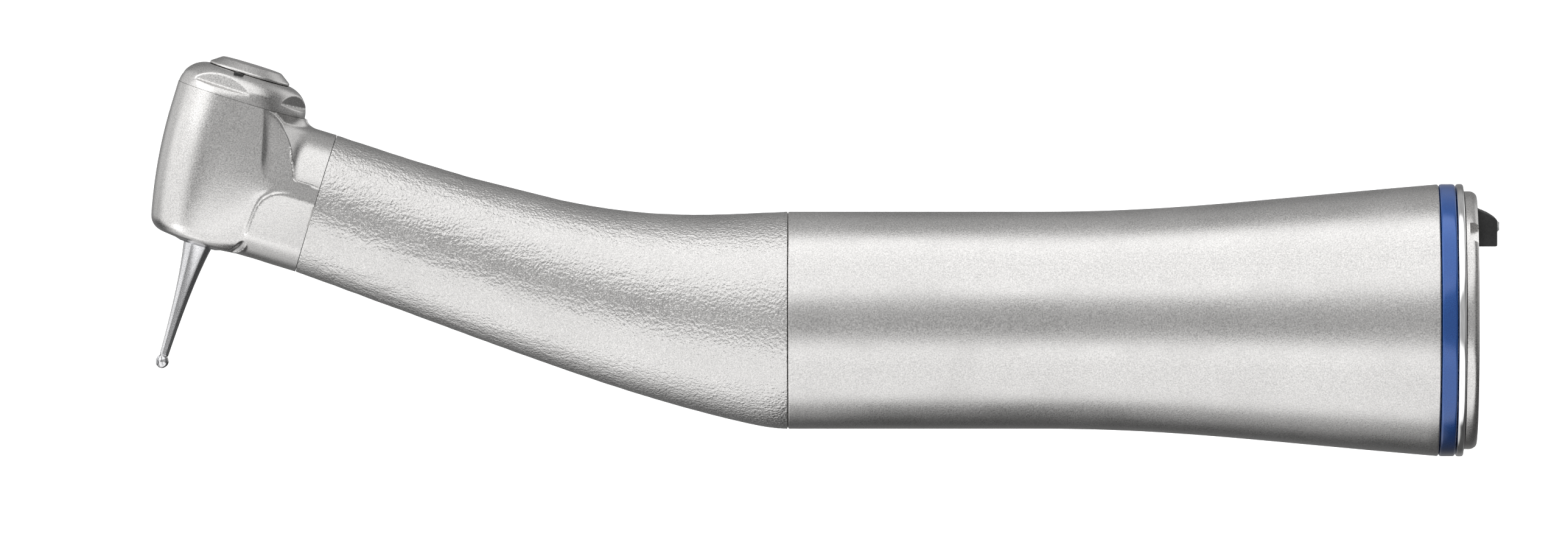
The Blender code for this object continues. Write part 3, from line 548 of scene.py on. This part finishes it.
def cap_hole(out, z):
    """Room in the cap for the button, its flange and the upper head bearing."""
    button = np.maximum(out - 3.12, 6.5 - z)
    flange = np.maximum(out - 3.65, np.maximum(5.3 - z, z - 6.53))
    bearing = np.minimum(out - 2.7, np.maximum(out - 3.26, z - 5.03))
    return np.minimum.reduce([button, flange, bearing])


def cap_solid(x, y, z):
    """Head cap: a domed ring with four spanner flats and a small notch beside the button."""
    out = np.sqrt(x * x + y * y)
    dome = np.maximum(cap_side(x, y, z), CAP_LOW - z)
    thread = out - 4.1 - 0.05 * np.abs(((z * 2.9) % 1) - 0.5)
    cap = np.minimum(dome, np.maximum(thread, np.maximum(2.95 - z, z - 6)))
    for i in range(CAP_FLATS):
        turn = math.radians(FLAT_TURN + 360 / CAP_FLATS * i)
        across = x * math.cos(turn) + y * math.sin(turn)
        ledge = 6.27 + 0.19 * (4.8 - across) - z
        cap = soft_max(cap, -soft_max(FLAT_R - across, ledge, 0.02), 0.02)
    cap = soft_max(cap, z - CAP_TOP, 0.08)
    notch = np.maximum(np.maximum(np.abs(x + 0.71) - 0.36, y + 2.6), 7.53 - z)
    return np.maximum(soft_max(cap, -cap_hole(out, z), 0.08), -notch)


def make_head_housing(looks):
    housing = solid_mesh(
        "head_housing_fine", head_solid, (-5.2, -5.6, -5.65), (11.7, 5.6, 6.0), 0.105, HEAD,
        head_side, ((2, HEAD_TOP), (0, HEAD_END)),
    )
    dress(housing, "casing", "blasted_steel", looks["satin"], "head_housing")


def make_head_cap(looks):
    """The screwed cap, and a small black block in its notch that paints the notch's shadow and stands
    for no CAD node.
    """
    cap = solid_mesh(
        "head_cap_fine", cap_solid, (-5.1, -5.1, 2.75), (5.1, 5.1, 7.9), 0.085, HEAD,
        cap_side, ((2, CAP_LOW),),
    )
    dress(cap, "casing", "blasted_steel", looks["satin"], "head_cap")
    # A black block set in the notch: painted shadow where the notch lies in shade.
    key = plate("painted_notch_shadow", (-1.05, -0.37), (-3.72, -3.14), (7.43, 7.69), HEAD, bevel=0.02)
    dress(key, "casing", "black_plastic", looks["black"])


def make_push_button(looks):
    profile = [(8.45, 0), (8.45, 2.25, 0.14), (7.92, 3.0, 0.05), (7.84, 3.06), (7.76, 3.06),
               (7.62, 2.98), (6.5, 2.98), (6.5, 3.55), (6.15, 3.55), (6.15, 2.65), (7.5, 2.65),
               (7.5, 2.1), (6.27, 2.1), (6.27, 1.5), (7.75, 1.5), (7.75, 0)]
    button = turned("push_button_fine", profile, HEAD)
    dress(button, "push_button", "blasted_steel", looks["satin"], "push_button")


# ---------------------------------------------------------------- bur


BALL_W, BALL_R = -14.54, 0.5  # centre and radius of the bur's head
FLUTES_TOP = -14.12
FLUTES, FLUTE_DEPTH, FLUTE_TWIST = 8, 0.16, 1.1  # count, share of the radius, radians per millimetre


def bur_profile():
    """Shank with its latch groove, then the neck, then the round head."""
    shank = [(6.9, 0), (6.9, 1.175, 0.14), (6.35, 1.175, 0.03), (6.3, 0.95, 0.03), (5.95, 0.95, 0.03),
             (5.9, 1.175, 0.03), (-5.25, 1.175, 0.06)]
    neck = [(-5.5 - d, 0.19 + 0.88 * math.exp(-d / 4.6)) for d in np.linspace(0, 8.55, 40)]
    angles = np.radians(np.linspace(34, 178, 33))
    ball = [(BALL_W + 0.52 * math.cos(a), BALL_R * math.sin(a)) for a in angles]
    return shank + neck + ball + [(BALL_W - 0.52, 0)]


def flute(p):
    """Share by which the bur's radius is cut at a point of its head, in the HEAD frame."""
    out = math.hypot(p.x, p.y)
    angle = math.atan2(p.y, p.x) + FLUTE_TWIST * (p.z - BALL_W)
    tooth = (angle * FLUTES / (2 * math.pi)) % 1
    fading = min(1.0, out / 0.3) * min(1.0, (FLUTES_TOP - p.z) * 6)
    return FLUTE_DEPTH * fading * (1 - tooth) ** 1.5


def make_bur(looks):
    bur = turned("bur_fine", bur_profile(), HEAD, steps=144, radius=0.02)
    inverse = HEAD.inverted()
    for vert in bur.data.vertices:
        p = inverse @ vert.co
        if p.z < FLUTES_TOP:
            cut = flute(p)
            p.x *= 1 - cut
            p.y *= 1 - cut
            vert.co = HEAD @ p
    bur.data.update()
    flat = plate("shank_cutter", (0.75, 3), (-2, 2), (3.4, 8), HEAD)
    combine(bur, [flat], "DIFFERENCE")
    dress(bur, "bur", "bur_steel", looks["bur"], "bur")


# ---------------------------------------------------------------- neck and grip


def bezier(controls, t):
    """The point at t, from 0 to 1, of the Bezier curve with these control points."""
    points = [Vector(c) for c in controls]
    while len(points) > 1:
        points = [a.lerp(b, t) for a, b in zip(points, points[1:])]
    return points[0]


# Centreline and radius of the neck sleeve as (x, z, radius), from the grip to the head
NECK_CURVE = ((-51.09, 0.0, GRIP_R), (-52.21, 0.0, 8.16), (-62.18, 1.01, 6.6), (-65.11, 1.34, 5.58),
              (-86.0, 8.66, NECK_R))
NECK_WALL = ((1.0, 0.65), (0.55, 0.65), (0.02, 0.75))  # place on the curve, wall thickness
NECK_SPIGOT = ((-51.1, 6.5), (-47.0, 6.5), (-47.0, 7.2), (-51.03, 7.2), (-51.03, 7.9))  # (x, radius)
NECK_AROUND, NECK_ALONG = 312, 306
HAMMER_SEED = 1  # noise_vector starts at a place that changes from run to run unless it is seeded


def neck_section(t):
    """Centre, radius and tilt of the neck sleeve's section, t being 0 at the grip and 1 at the head."""
    here = bezier(NECK_CURVE, t)
    ahead, behind = bezier(NECK_CURVE, min(t + 0.01, 1)), bezier(NECK_CURVE, max(t - 0.01, 0))
    tilt = math.atan2(ahead.y - behind.y, behind.x - ahead.x)
    return Vector((here.x, 0, here.y)), here.z, min(tilt, BEND) * min(1.0, 10 * t)


def hammer(point):
    """Relief of the hammered finish, in millimetres below the sleeve's own surface."""
    near_head = min(1.0, max(0.0, (-point.x - 52.0) / 31.0))
    p = point / (0.36 + 0.14 * near_head)
    p = p + 0.4 * noise.noise_vector(p * 0.8)
    dent = min(1.0, noise.voronoi(p)[0][0]) ** 2
    return (0.012 + 0.026 * near_head) * (0.8 - 0.9 * dent + 0.5 * noise.noise(p * 0.9))


def add_ring(points, centre, radius, tilt, sink=None):
    """Adds a ring of the neck sleeve to points, sunk by sink(point), and returns its point numbers."""
    for up, side in circle(NECK_AROUND):
        across = Vector((up * math.sin(tilt), side, up * math.cos(tilt)))
        point = centre + radius * across
        points.append(point - sink(point) * across if sink else point)
    return list(range(len(points) - NECK_AROUND, len(points)))


def neck_relief(t):
    """How far the outside sinks at a point: hammered, with plain and slightly rolled ends."""
    to_end = min(t, 1 - t)
    hammered = min(1.0, 60 * to_end)
    roll = 0.02 * (1 - min(1.0, 240 * to_end)) ** 2
    return lambda point: max(0.0, hammer(point) * hammered) + roll


def make_neck_sleeve(looks):
    noise.seed_set(HAMMER_SEED)
    points, rows = [], []
    for i in range(NECK_ALONG + 1):
        t = i / NECK_ALONG
        rows.append(add_ring(points, *neck_section(t), sink=neck_relief(t)))
    for t, wall in NECK_WALL:
        centre, radius, tilt = neck_section(t)
        rows.append(add_ring(points, centre, radius - wall, tilt))
    for x, radius in NECK_SPIGOT:
        rows.append(add_ring(points, Vector((x, 0, 0)), radius, 0.0))
    place = Matrix.Translation((FACE_X * MM, 0, 0)) @ Matrix.Diagonal((MM, MM, MM, 1))
    sleeve = add_mesh("neck_sleeve_fine", points, skin(rows + rows[:1]), place, sharp=60)
    dress(sleeve, "casing", "hammered_steel", looks["hammered"], "neck_sleeve")


def grip_outline():
    """A straight front, then an outside that swells to the rear, and the bore back to the front."""
    front = GRIP_FRONT + 0.03
    swell = ((-32.2, GRIP_R), (-22.5, GRIP_R), (-16.04, 8.98), (GRIP_REAR, 10.08))
    outer = [(front, GRIP_R, 0.12), (-40, GRIP_R)]
    outer += [tuple(bezier(swell, t / 40)) for t in range(40)]
    outer.append((GRIP_REAR, 10.08, 0.15))
    return outer + [(GRIP_REAR, 8.95), (-4.5, 8.95), (-22, 7.25), (front, 7.25)]


def make_grip_sleeve(looks):
    grip = turned("grip_sleeve_fine", grip_outline(), REAR, steps=COLLAR_STEPS)
    dress(grip, "casing", "blasted_steel", looks["grip"], "grip_sleeve")


RING_BORE = 8.56


def make_ratio_ring(looks):
    profile = [(-2.8, RING_BORE), (-2.8, 10.09, 0.22), (-1.6, 10.09, 0.22), (-1.6, RING_BORE)]
    ring = turned("ratio_ring_fine", profile, REAR, steps=COLLAR_STEPS)
    dress(ring, "casing", "blue_lacquer", looks["blue"], "ratio_ring")


def make_stop_ring(looks):
    profile = [(-1.56, RING_BORE), (-1.56, COLLAR_R, 0.2), (-0.99, COLLAR_R, 0.2), (-0.99, RING_BORE)]
    ring = turned("stop_ring_fine", profile, REAR, steps=COLLAR_STEPS)
    dress(ring, "casing", "polished_steel", looks["polished"], "stop_ring")


def make_ring_nut(looks):
    """The nut that closes the rear end, with two notches for its spanner."""
    profile = [(-0.93, RING_BORE), (-0.93, 9.56, 0.05), (-0.35, 9.56, 0.2), (0, 9.3, 0.16),
               (0, RING_BORE, 0.1)]
    nut = turned("ring_nut_fine", profile, REAR, steps=COLLAR_STEPS)
    turns = [REAR @ Matrix.Rotation(math.radians(angle), 4, "Z") for angle in (44, 224)]
    notches = [plate("notch", (8.9, 11), (-0.91, 0.91), (-0.64, 1), turn) for turn in turns]
    combine(nut, notches, "DIFFERENCE")
    dress(nut, "casing", "blasted_steel", looks["satin"], "ring_nut")


# ---------------------------------------------------------------- coupling


def make_light_guide_holder(looks):
    """The black block at the rear face with the light guide's end in it, and its foot."""
    side = [(8.3, 0.03), (7.95, 0.85), (7.7, 1.25), (7.5, 1.49), (5.6, 1.49), (5.55, 1.4), (5.55, 0.03)]
    holder = prism("light_guide_holder_fine", side, -2.2, 2.2, REAR, rise=1, bevel=0.07)
    foot = plate("foot", (6.25, 8.15), (-1.6, 1.6), (-2.4, 0.5), REAR, bevel=0.05)
    combine(holder, [foot], "UNION")
    path = [(GUIDE_HEIGHT, 0, -3), (GUIDE_HEIGHT, 0, 2)]
    hole = tube("hole", path, GUIDE_HOLE_R, REAR, sides=48, smooth=1)
    combine(holder, [hole], "DIFFERENCE")
    dress(holder, "casing", "black_plastic", looks["black"], "light_guide_holder")


def make_coupling_liner(looks):
    """The stepped bore for the motor nose, with the pocket and the tunnel of the light guide."""
    profile = [(-28.1, 7.2), (-22, 7.2), (-4.5, 8.9), (-2.9, 8.9), (-2.9, 8.5), (-0.05, 8.5),
               (-0.05, 6.35, 0.1), (-0.25, 6.2, 0.1), (-8.0, 6.2), (-8.4, 5.5), (-11.65, 5.5),
               (-11.65, 5.95), (-12.35, 5.95), (-12.35, 5.5), (-24.5, 5.5, 0.2), (-24.5, 2.7),
               (-28.1, 2.7)]
    liner = turned("coupling_liner_fine", profile, REAR, steps=144)
    pocket = plate("pocket", (6.0, 8.2), (-1.63, 1.63), (-2.45, 1), REAR)
    path = [(GUIDE_HEIGHT, 0, 2), (GUIDE_HEIGHT, 0, -9), (6.3, 0, -21), (6.35, 0, -29)]
    tunnel = tube("guide_tunnel", path, GUIDE_HOLE_R, REAR)
    combine(liner, [pocket, tunnel], "DIFFERENCE")
    dress(liner, "casing", "polished_steel", looks["bore"], "coupling_liner")


def make_nose_retaining_ring(looks):
    """An open wire ring in the groove of the bore."""
    radius, level = 5.62, -12.0
    angles = np.radians(np.linspace(20, 340, 80))
    arc = [(radius * math.cos(a), radius * math.sin(a), level) for a in angles]
    wire = tube("nose_retaining_ring_fine", arc, 0.25, REAR, sides=16, smooth=1)
    dress(wire, "casing", "spring_steel", looks["spring"], "nose_retaining_ring")


def make_drive_dog(looks):
    """A cup with a flat tang behind and a slot across it for the clutch pin."""
    profile = [(-24.2, 1.54), (-24.2, 2.4), (-18.6, 2.4, 0.12), (-18.4, 2.2), (-18.4, 0), (-19.4, 0),
               (-19.4, 1.54)]
    dog = turned("drive_dog_fine", profile, REAR, steps=96)
    tang = plate("tang", (-1.8, 1.8), (-0.55, 0.55), (-18.6, -17.3), REAR, bevel=0.08)
    combine(dog, [tang], "UNION")
    slot = plate("slot", (-4, 4), (-0.46, 0.46), (-21.97, -20.0), REAR)
    combine(dog, [slot], "DIFFERENCE")
    dress(dog, "drive_dog", "gear_steel", looks["gear"], "drive_dog")


# ---------------------------------------------------------------- materials


class Nodes:
    """Short ways to build the node tree of a material or of the world."""

    def __init__(self, owner):
        owner.use_nodes = True
        self.tree = owner.node_tree

    def add(self, kind, **settings):
        node = self.tree.nodes.new(kind)
        for key, value in settings.items():
            setattr(node, key, value)
        return node

    def link(self, source, target):
        self.tree.links.new(source, target)

    def total(self, a, b):
        """The sum of two values, of which b may be a plain number."""
        node = self.add("ShaderNodeMath", operation="ADD")
        self.link(a, node.inputs[0])
        if isinstance(b, float):
            node.inputs[1].default_value = b
        else:
            self.link(b, node.inputs[1])
        return node.outputs[0]

    def ranged(self, value, low, high, source=(0.3, 0.7), curve="LINEAR"):
        """The value stretched from the range source to low and high."""
        node = self.add("ShaderNodeMapRange", interpolation_type=curve)
        node.inputs["From Min"].default_value, node.inputs["From Max"].default_value = source
        node.inputs["To Min"].default_value, node.inputs["To Max"].default_value = low, high
        self.link(value, node.inputs["Value"])
        return node.outputs["Result"]


class Finish(Nodes):
    """A material round its Principled BSDF."""

    def __init__(self, name):
        self.material = bpy.data.materials.new(name)
        super().__init__(self.material)
        self.shader = self.tree.nodes["Principled BSDF"]

    def feed(self, **sources):
        """Links outputs to the shader's inputs. An underscore stands for a space."""
        for key, source in sources.items():
            self.link(source, self.shader.inputs[key.replace("_", " ")])

    def set(self, **values):
        """Sets the shader's inputs. An underscore stands for a space."""
        for key, value in values.items():
            self.shader.inputs[key.replace("_", " ")].default_value = value

    def place(self, scale):
        """Coordinates in the object, scaled."""
        coords = self.add("ShaderNodeTexCoord")
        mapping = self.add("ShaderNodeMapping")
        mapping.inputs["Scale"].default_value = scale
        self.link(coords.outputs["Object"], mapping.inputs["Vector"])
        return mapping.outputs["Vector"]

    def noise(self, grain_mm, detail=2.0, stretch=(1, 1, 1), roughness=0.5):
        """Noise whose lumps are about grain_mm wide."""
        node = self.add("ShaderNodeTexNoise")
        node.inputs["Scale"].default_value = 1000.0 / grain_mm
        node.inputs["Detail"].default_value = detail
        node.inputs["Roughness"].default_value = roughness
        self.link(self.place(stretch), node.inputs["Vector"])
        return node.outputs["Fac"]

    def tint(self, value, dark, light):
        """A colour between dark and light."""
        node = self.add("ShaderNodeMix", data_type="RGBA")
        self.link(self.ranged(value, 0, 1), node.inputs["Factor"])
        node.inputs["A"].default_value = (*dark, 1)
        node.inputs["B"].default_value = (*light, 1)
        return node.outputs["Result"]

    def bump(self, height, distance_mm, below=None):
        """A normal from a height, on top of the relief below."""
        node = self.add("ShaderNodeBump")
        node.inputs["Distance"].default_value = distance_mm * MM
        node.inputs["Strength"].default_value = 1.0
        self.link(height, node.inputs["Height"])
        if below is not None:
            self.link(below, node.inputs["Normal"])
        return node.outputs["Normal"]


def metal(name, dark, light, rough, grain_mm, bump_mm, smudge=0.05, stretch=(1, 1, 1), coarse=None):
    """A metal with fine grain, faint smudges in its gloss, and if asked a coarser relief.

    Coarse is the coarser relief's grain in millimetres, its detail and its height in millimetres.
    """
    n = Finish(name)
    n.set(Metallic=1.0)
    grain = n.noise(grain_mm, 2.0, stretch)
    cloud = n.noise(6.0, 3.0)
    below = n.bump(n.noise(*coarse[:2]), coarse[2]) if coarse else None
    n.feed(
        Base_Color=n.tint(grain, dark, light),
        Roughness=n.total(n.ranged(grain, *rough), n.ranged(cloud, -smudge, smudge)),
        Normal=n.bump(grain, bump_mm, below),
    )
    return n.material


def plastic(name, dark, light, rough, grain_mm, bump_mm):
    """A moulded plastic or rubber with a fine grain."""
    n = Finish(name)
    grain = n.noise(grain_mm, 3.0)
    n.feed(
        Base_Color=n.tint(grain, dark, light),
        Roughness=n.ranged(grain, *rough),
        Normal=n.bump(grain, bump_mm),
    )
    return n.material


def lacquer(name, dark, light):
    """A coloured coat over steel, glossier than the steel."""
    material = metal(name, dark, light, (0.2, 0.28), 0.06, 0.002)
    shader = material.node_tree.nodes["Principled BSDF"]
    shader.inputs["Metallic"].default_value = 0.35
    shader.inputs["Coat Weight"].default_value = 0.6
    shader.inputs["Coat Roughness"].default_value = 0.08
    return material


def fibre_glass(name):
    """Milky glass, as of a bundle of fibres."""
    n = Finish(name)
    n.set(Metallic=0.0, IOR=1.5, Transmission_Weight=0.35)
    grain = n.noise(0.06, 2.0)
    n.feed(
        Base_Color=n.tint(grain, (0.5, 0.53, 0.52), (0.85, 0.88, 0.86)),
        Roughness=n.ranged(grain, 0.06, 0.16),
    )
    return n.material


STEEL = ((0.42, 0.415, 0.41), (0.66, 0.65, 0.64))  # the steel outside: darkest and lightest grain


def make_looks():
    """Every material by a short name."""
    return {
        "satin": metal("satin_blasted_steel", *STEEL, (0.24, 0.34), 0.09, 0.006),
        "grip": metal("blasted_steel", *STEEL, (0.27, 0.38), 0.1, 0.008),
        "hammered": metal(
            "hammered_steel", (0.42, 0.415, 0.41), (0.64, 0.63, 0.62), (0.22, 0.34), 0.09, 0.006,
            coarse=(0.2, 2.0, 0.07),
        ),
        "polished": metal(
            "polished_steel", (0.6, 0.6, 0.6), (0.78, 0.78, 0.78), (0.06, 0.12), 0.05, 0.0008, 0.02,
            stretch=(1, 0.05, 0.05),
        ),
        "bore": metal(
            "turned_bore", (0.42, 0.42, 0.42), (0.66, 0.66, 0.66), (0.16, 0.28), 0.08, 0.002, 0.03,
            stretch=(1, 0.03, 0.03),
        ),
        "bur": metal(
            "ground_bur_steel", (0.36, 0.36, 0.37), (0.7, 0.7, 0.71), (0.1, 0.2), 0.05, 0.0015, 0.03,
        ),
        "gear": metal(
            "machined_gear_steel", (0.3, 0.3, 0.31), (0.5, 0.5, 0.51), (0.22, 0.36), 0.09, 0.003,
        ),
        "bearing": metal(
            "bearing_steel", (0.55, 0.55, 0.56), (0.7, 0.7, 0.71), (0.1, 0.18), 0.06, 0.001,
        ),
        "spring": metal(
            "spring_steel", (0.45, 0.45, 0.46), (0.66, 0.66, 0.67), (0.14, 0.24), 0.07, 0.002,
        ),
        "brass": metal(
            "machined_brass", (0.5, 0.34, 0.12), (0.76, 0.56, 0.25), (0.18, 0.3), 0.1, 0.003,
        ),
        "cage": plastic("bearing_cage", (0.24, 0.13, 0.05), (0.4, 0.24, 0.1), (0.4, 0.55), 0.12, 0.004),
        "black": plastic("black_plastic", (0.012,) * 3, (0.024,) * 3, (0.3, 0.42), 0.12, 0.006),
        "rubber": plastic("seal_rubber", (0.02,) * 3, (0.04,) * 3, (0.5, 0.65), 0.1, 0.006),
        "blue": lacquer("blue_lacquer", (0.0, 0.05, 0.26), (0.004, 0.085, 0.34)),
        "glass": fibre_glass("fibre_glass"),
    }


# ---------------------------------------------------------------- inner parts


def make_spring(looks, name, body, matrix, shape):
    """A coil spring with evenly spaced turns.

    Shape is the coil's radius, the wire's radius, the lowest and highest level and the turns.
    """
    radius, wire, low, high, turns = shape
    steps = 48 * turns
    path = []
    for i in range(steps + 1):
        angle = 2 * math.pi * turns * i / steps
        level = low + (high - low) * i / steps
        path.append((radius * math.cos(angle), radius * math.sin(angle), level))
    coil = tube(name + "_fine", path, wire, matrix, sides=14, smooth=1)
    dress(coil, body, "spring_steel", looks["spring"], name)
    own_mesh(coil)


def make_springs(looks):
    """The springs under the push button and behind the drive dog, at rest."""
    button = (3.1, 0.1, 5.42, 5.95, 2)
    make_spring(looks, "button_spring", "casing", HEAD, button)
    clutch = (1.84, 0.2, -29.88, -24.52, 5)
    make_spring(looks, "clutch_spring", "rear_shaft", REAR, clutch)


GUIDE_END = 5.02  # how far below the head's centre the light guide ends


def make_light_guide(looks):
    """The glass rod with a round section, its front end ground flush with the neck's underside."""
    bm = bmesh.new()
    bm.from_mesh(frame["nodes"]["light_guide"].data)
    bmesh.ops.remove_doubles(bm, verts=bm.verts[:], dist=0.01 * MM)
    bmesh.ops.subdivide_edges(bm, edges=bm.edges[:], cuts=2, use_grid_fill=True, smooth=1.0)
    below = (HEAD_CENTRE - GUIDE_END * UP_HEAD) * MM
    whole = bm.verts[:] + bm.edges[:] + bm.faces[:]
    cut = bmesh.ops.bisect_plane(bm, geom=whole, plane_co=below, plane_no=-UP_HEAD, clear_outer=True)
    rim = [e for e in cut["geom_cut"] if isinstance(e, bmesh.types.BMEdge)]
    bmesh.ops.holes_fill(bm, edges=rim)
    guide = add_object("light_guide_fine", mesh_from(bm, "light_guide_fine"), sharp=45)
    dress(guide, "casing", "glass", looks["glass"], "light_guide")


CARRIED = {
    "water_tube": "spring",
    "clutch_pin": "spring",
    "front_bearing_sleeve": "brass",
    "rear_bearing_housing": "brass",
    "lower_seal_washer": "rubber",
}


def look_of(name):
    """The short name of the material of a CAD node that stays as it is."""
    if name.endswith("balls_and_cage"):
        return "cage"
    if "bearing" in name and name.endswith("_ring"):
        return "bearing"
    return CARRIED.get(name, "gear")


def dress_carried(looks):
    """Materials for the CAD nodes. Those that a finer piece stands for aren't shown."""
    for name, obj in frame["nodes"].items():
        obj.data.materials.clear()
        obj.data.materials.append(looks[look_of(name)])
        for polygon in obj.data.polygons:
            polygon.material_index = 0


# ---------------------------------------------------------------- studio


def blob(n, direction, stretch, inner, outer, strength):
    """A soft patch of light in the world, round a direction. Angles are in degrees."""
    coords = n.add("ShaderNodeTexCoord")
    scale = n.add("ShaderNodeVectorMath", operation="MULTIPLY")
    scale.inputs[1].default_value = stretch
    n.link(coords.outputs["Generated"], scale.inputs[0])
    unit = n.add("ShaderNodeVectorMath", operation="NORMALIZE")
    n.link(scale.outputs[0], unit.inputs[0])
    dot = n.add("ShaderNodeVectorMath", operation="DOT_PRODUCT")
    dot.inputs[1].default_value = (Vector(direction) * Vector(stretch)).normalized()
    n.link(unit.outputs[0], dot.inputs[0])
    reach = [math.cos(math.radians(angle)) for angle in (outer, inner)]
    return n.ranged(dot.outputs["Value"], 0.0, strength, reach, "SMOOTHSTEP")


def towards(elevation, azimuth=0.0):
    """A direction: elevation 0 is to the camera, 90 up, 180 away; azimuth turns it to the right."""
    e, a = math.radians(elevation), math.radians(azimuth)
    flat = Vector((math.sin(a), -math.cos(a), 0))
    return flat * math.cos(e) + Vector((0, 0, math.sin(e)))


SOFT_LIGHTS = (
    # direction, stretch, inner and outer angle, strength
    (towards(53, -50), (0.5, 1, 1), 35, 45, 1.45),
    (towards(114), (0.6, 1, 1), 14, 44, 0.42),
    (towards(180), (0.5, 1, 1), 10, 40, 0.16),
    (Vector((1, 0, 0.1)), (1, 1, 1), 8, 34, 0.3),
    (Vector((0.75, 0.6, 0.3)), (1, 1, 1), 8, 32, 0.9),
    (Vector((-0.75, 0.6, 0.3)), (1, 1, 1), 8, 32, 0.7),
    (towards(-52, -35), (0.5, 1, 1), 33, 44, 1.4),
    (Vector((-0.45, 0.3, -0.84)), (1, 1, 1), 14, 30, 0.8),
    (towards(4, -82), (1, 1, 0.55), 18, 38, 1.3),
    (towards(2), (0.6, 1, 1), 14, 46, 0.5),
)
BASE_LIGHT = 0.1


def make_world():
    """Soft lights for the object to mirror, and plain white for the camera."""
    world = bpy.data.worlds.new("studio")
    bpy.context.scene.world = world
    n = Nodes(world)
    total = blob(n, *SOFT_LIGHTS[0])
    for light in SOFT_LIGHTS[1:]:
        total = n.total(total, blob(n, *light))
    pick = n.add("ShaderNodeMix")
    n.link(n.add("ShaderNodeLightPath").outputs["Is Camera Ray"], pick.inputs["Factor"])
    n.link(n.total(total, BASE_LIGHT), pick.inputs["A"])
    pick.inputs["B"].default_value = 1.0
    n.link(pick.outputs["Result"], n.tree.nodes["Background"].inputs["Color"])


def make_floor():
    """A plain pale floor, left out of the light that falls on the object and of its reflections."""
    size, level = 30.0, -0.045
    corners = [(-size, -size, level), (size, -size, level), (size, size, level), (-size, size, level)]
    mesh = bpy.data.meshes.new("floor")
    mesh.from_pydata(corners, [], [(0, 1, 2, 3)])
    floor = bpy.data.objects.new("floor", mesh)
    bpy.context.scene.collection.objects.link(floor)
    n = Finish("pale_floor")
    n.set(Roughness=0.9, Emission_Color=(1, 1, 1, 1), Emission_Strength=0.45)
    n.feed(Base_Color=n.tint(n.noise(40.0, 2.0), (0.86, 0.86, 0.86), (0.9, 0.9, 0.9)))
    mesh.materials.append(n.material)
    floor.visible_glossy = False
    floor.visible_diffuse = False
    floor.visible_transmission = False


CAMERA_TARGET = Vector((-29.65, 0, 3.54))
CAMERA_DISTANCE = 1560.0
CAMERA_LIFT = math.radians(2.4)


def make_camera():
    """The camera a long way off, a little above the object, looking at the middle of its length."""
    data = bpy.data.cameras.new("camera")
    data.lens = 483.0
    data.sensor_width = 36.0
    data.shift_x = -0.0377
    data.clip_end = 100.0
    camera = bpy.data.objects.new("camera", data)
    bpy.context.scene.collection.objects.link(camera)
    back = Vector((0, -math.cos(CAMERA_LIFT), math.sin(CAMERA_LIFT)))
    camera.location = (CAMERA_TARGET + CAMERA_DISTANCE * back) * MM
    camera.rotation_euler = (math.radians(90) - CAMERA_LIFT, 0, 0)
    bpy.context.scene.camera = camera


PIECES = (
    make_head_housing, make_head_cap, make_push_button, make_bur, make_neck_sleeve, make_grip_sleeve,
    make_ratio_ring, make_stop_ring, make_ring_nut, make_light_guide_holder, make_coupling_liner,
    make_nose_retaining_ring, make_drive_dog, make_springs, make_light_guide,
)


def main():
    looks = make_looks()
    dress_carried(looks)
    for make in PIECES:
        make(looks)
    make_world()
    make_floor()
    make_camera()
    bpy.context.scene.view_settings.view_transform = "Standard"


main()
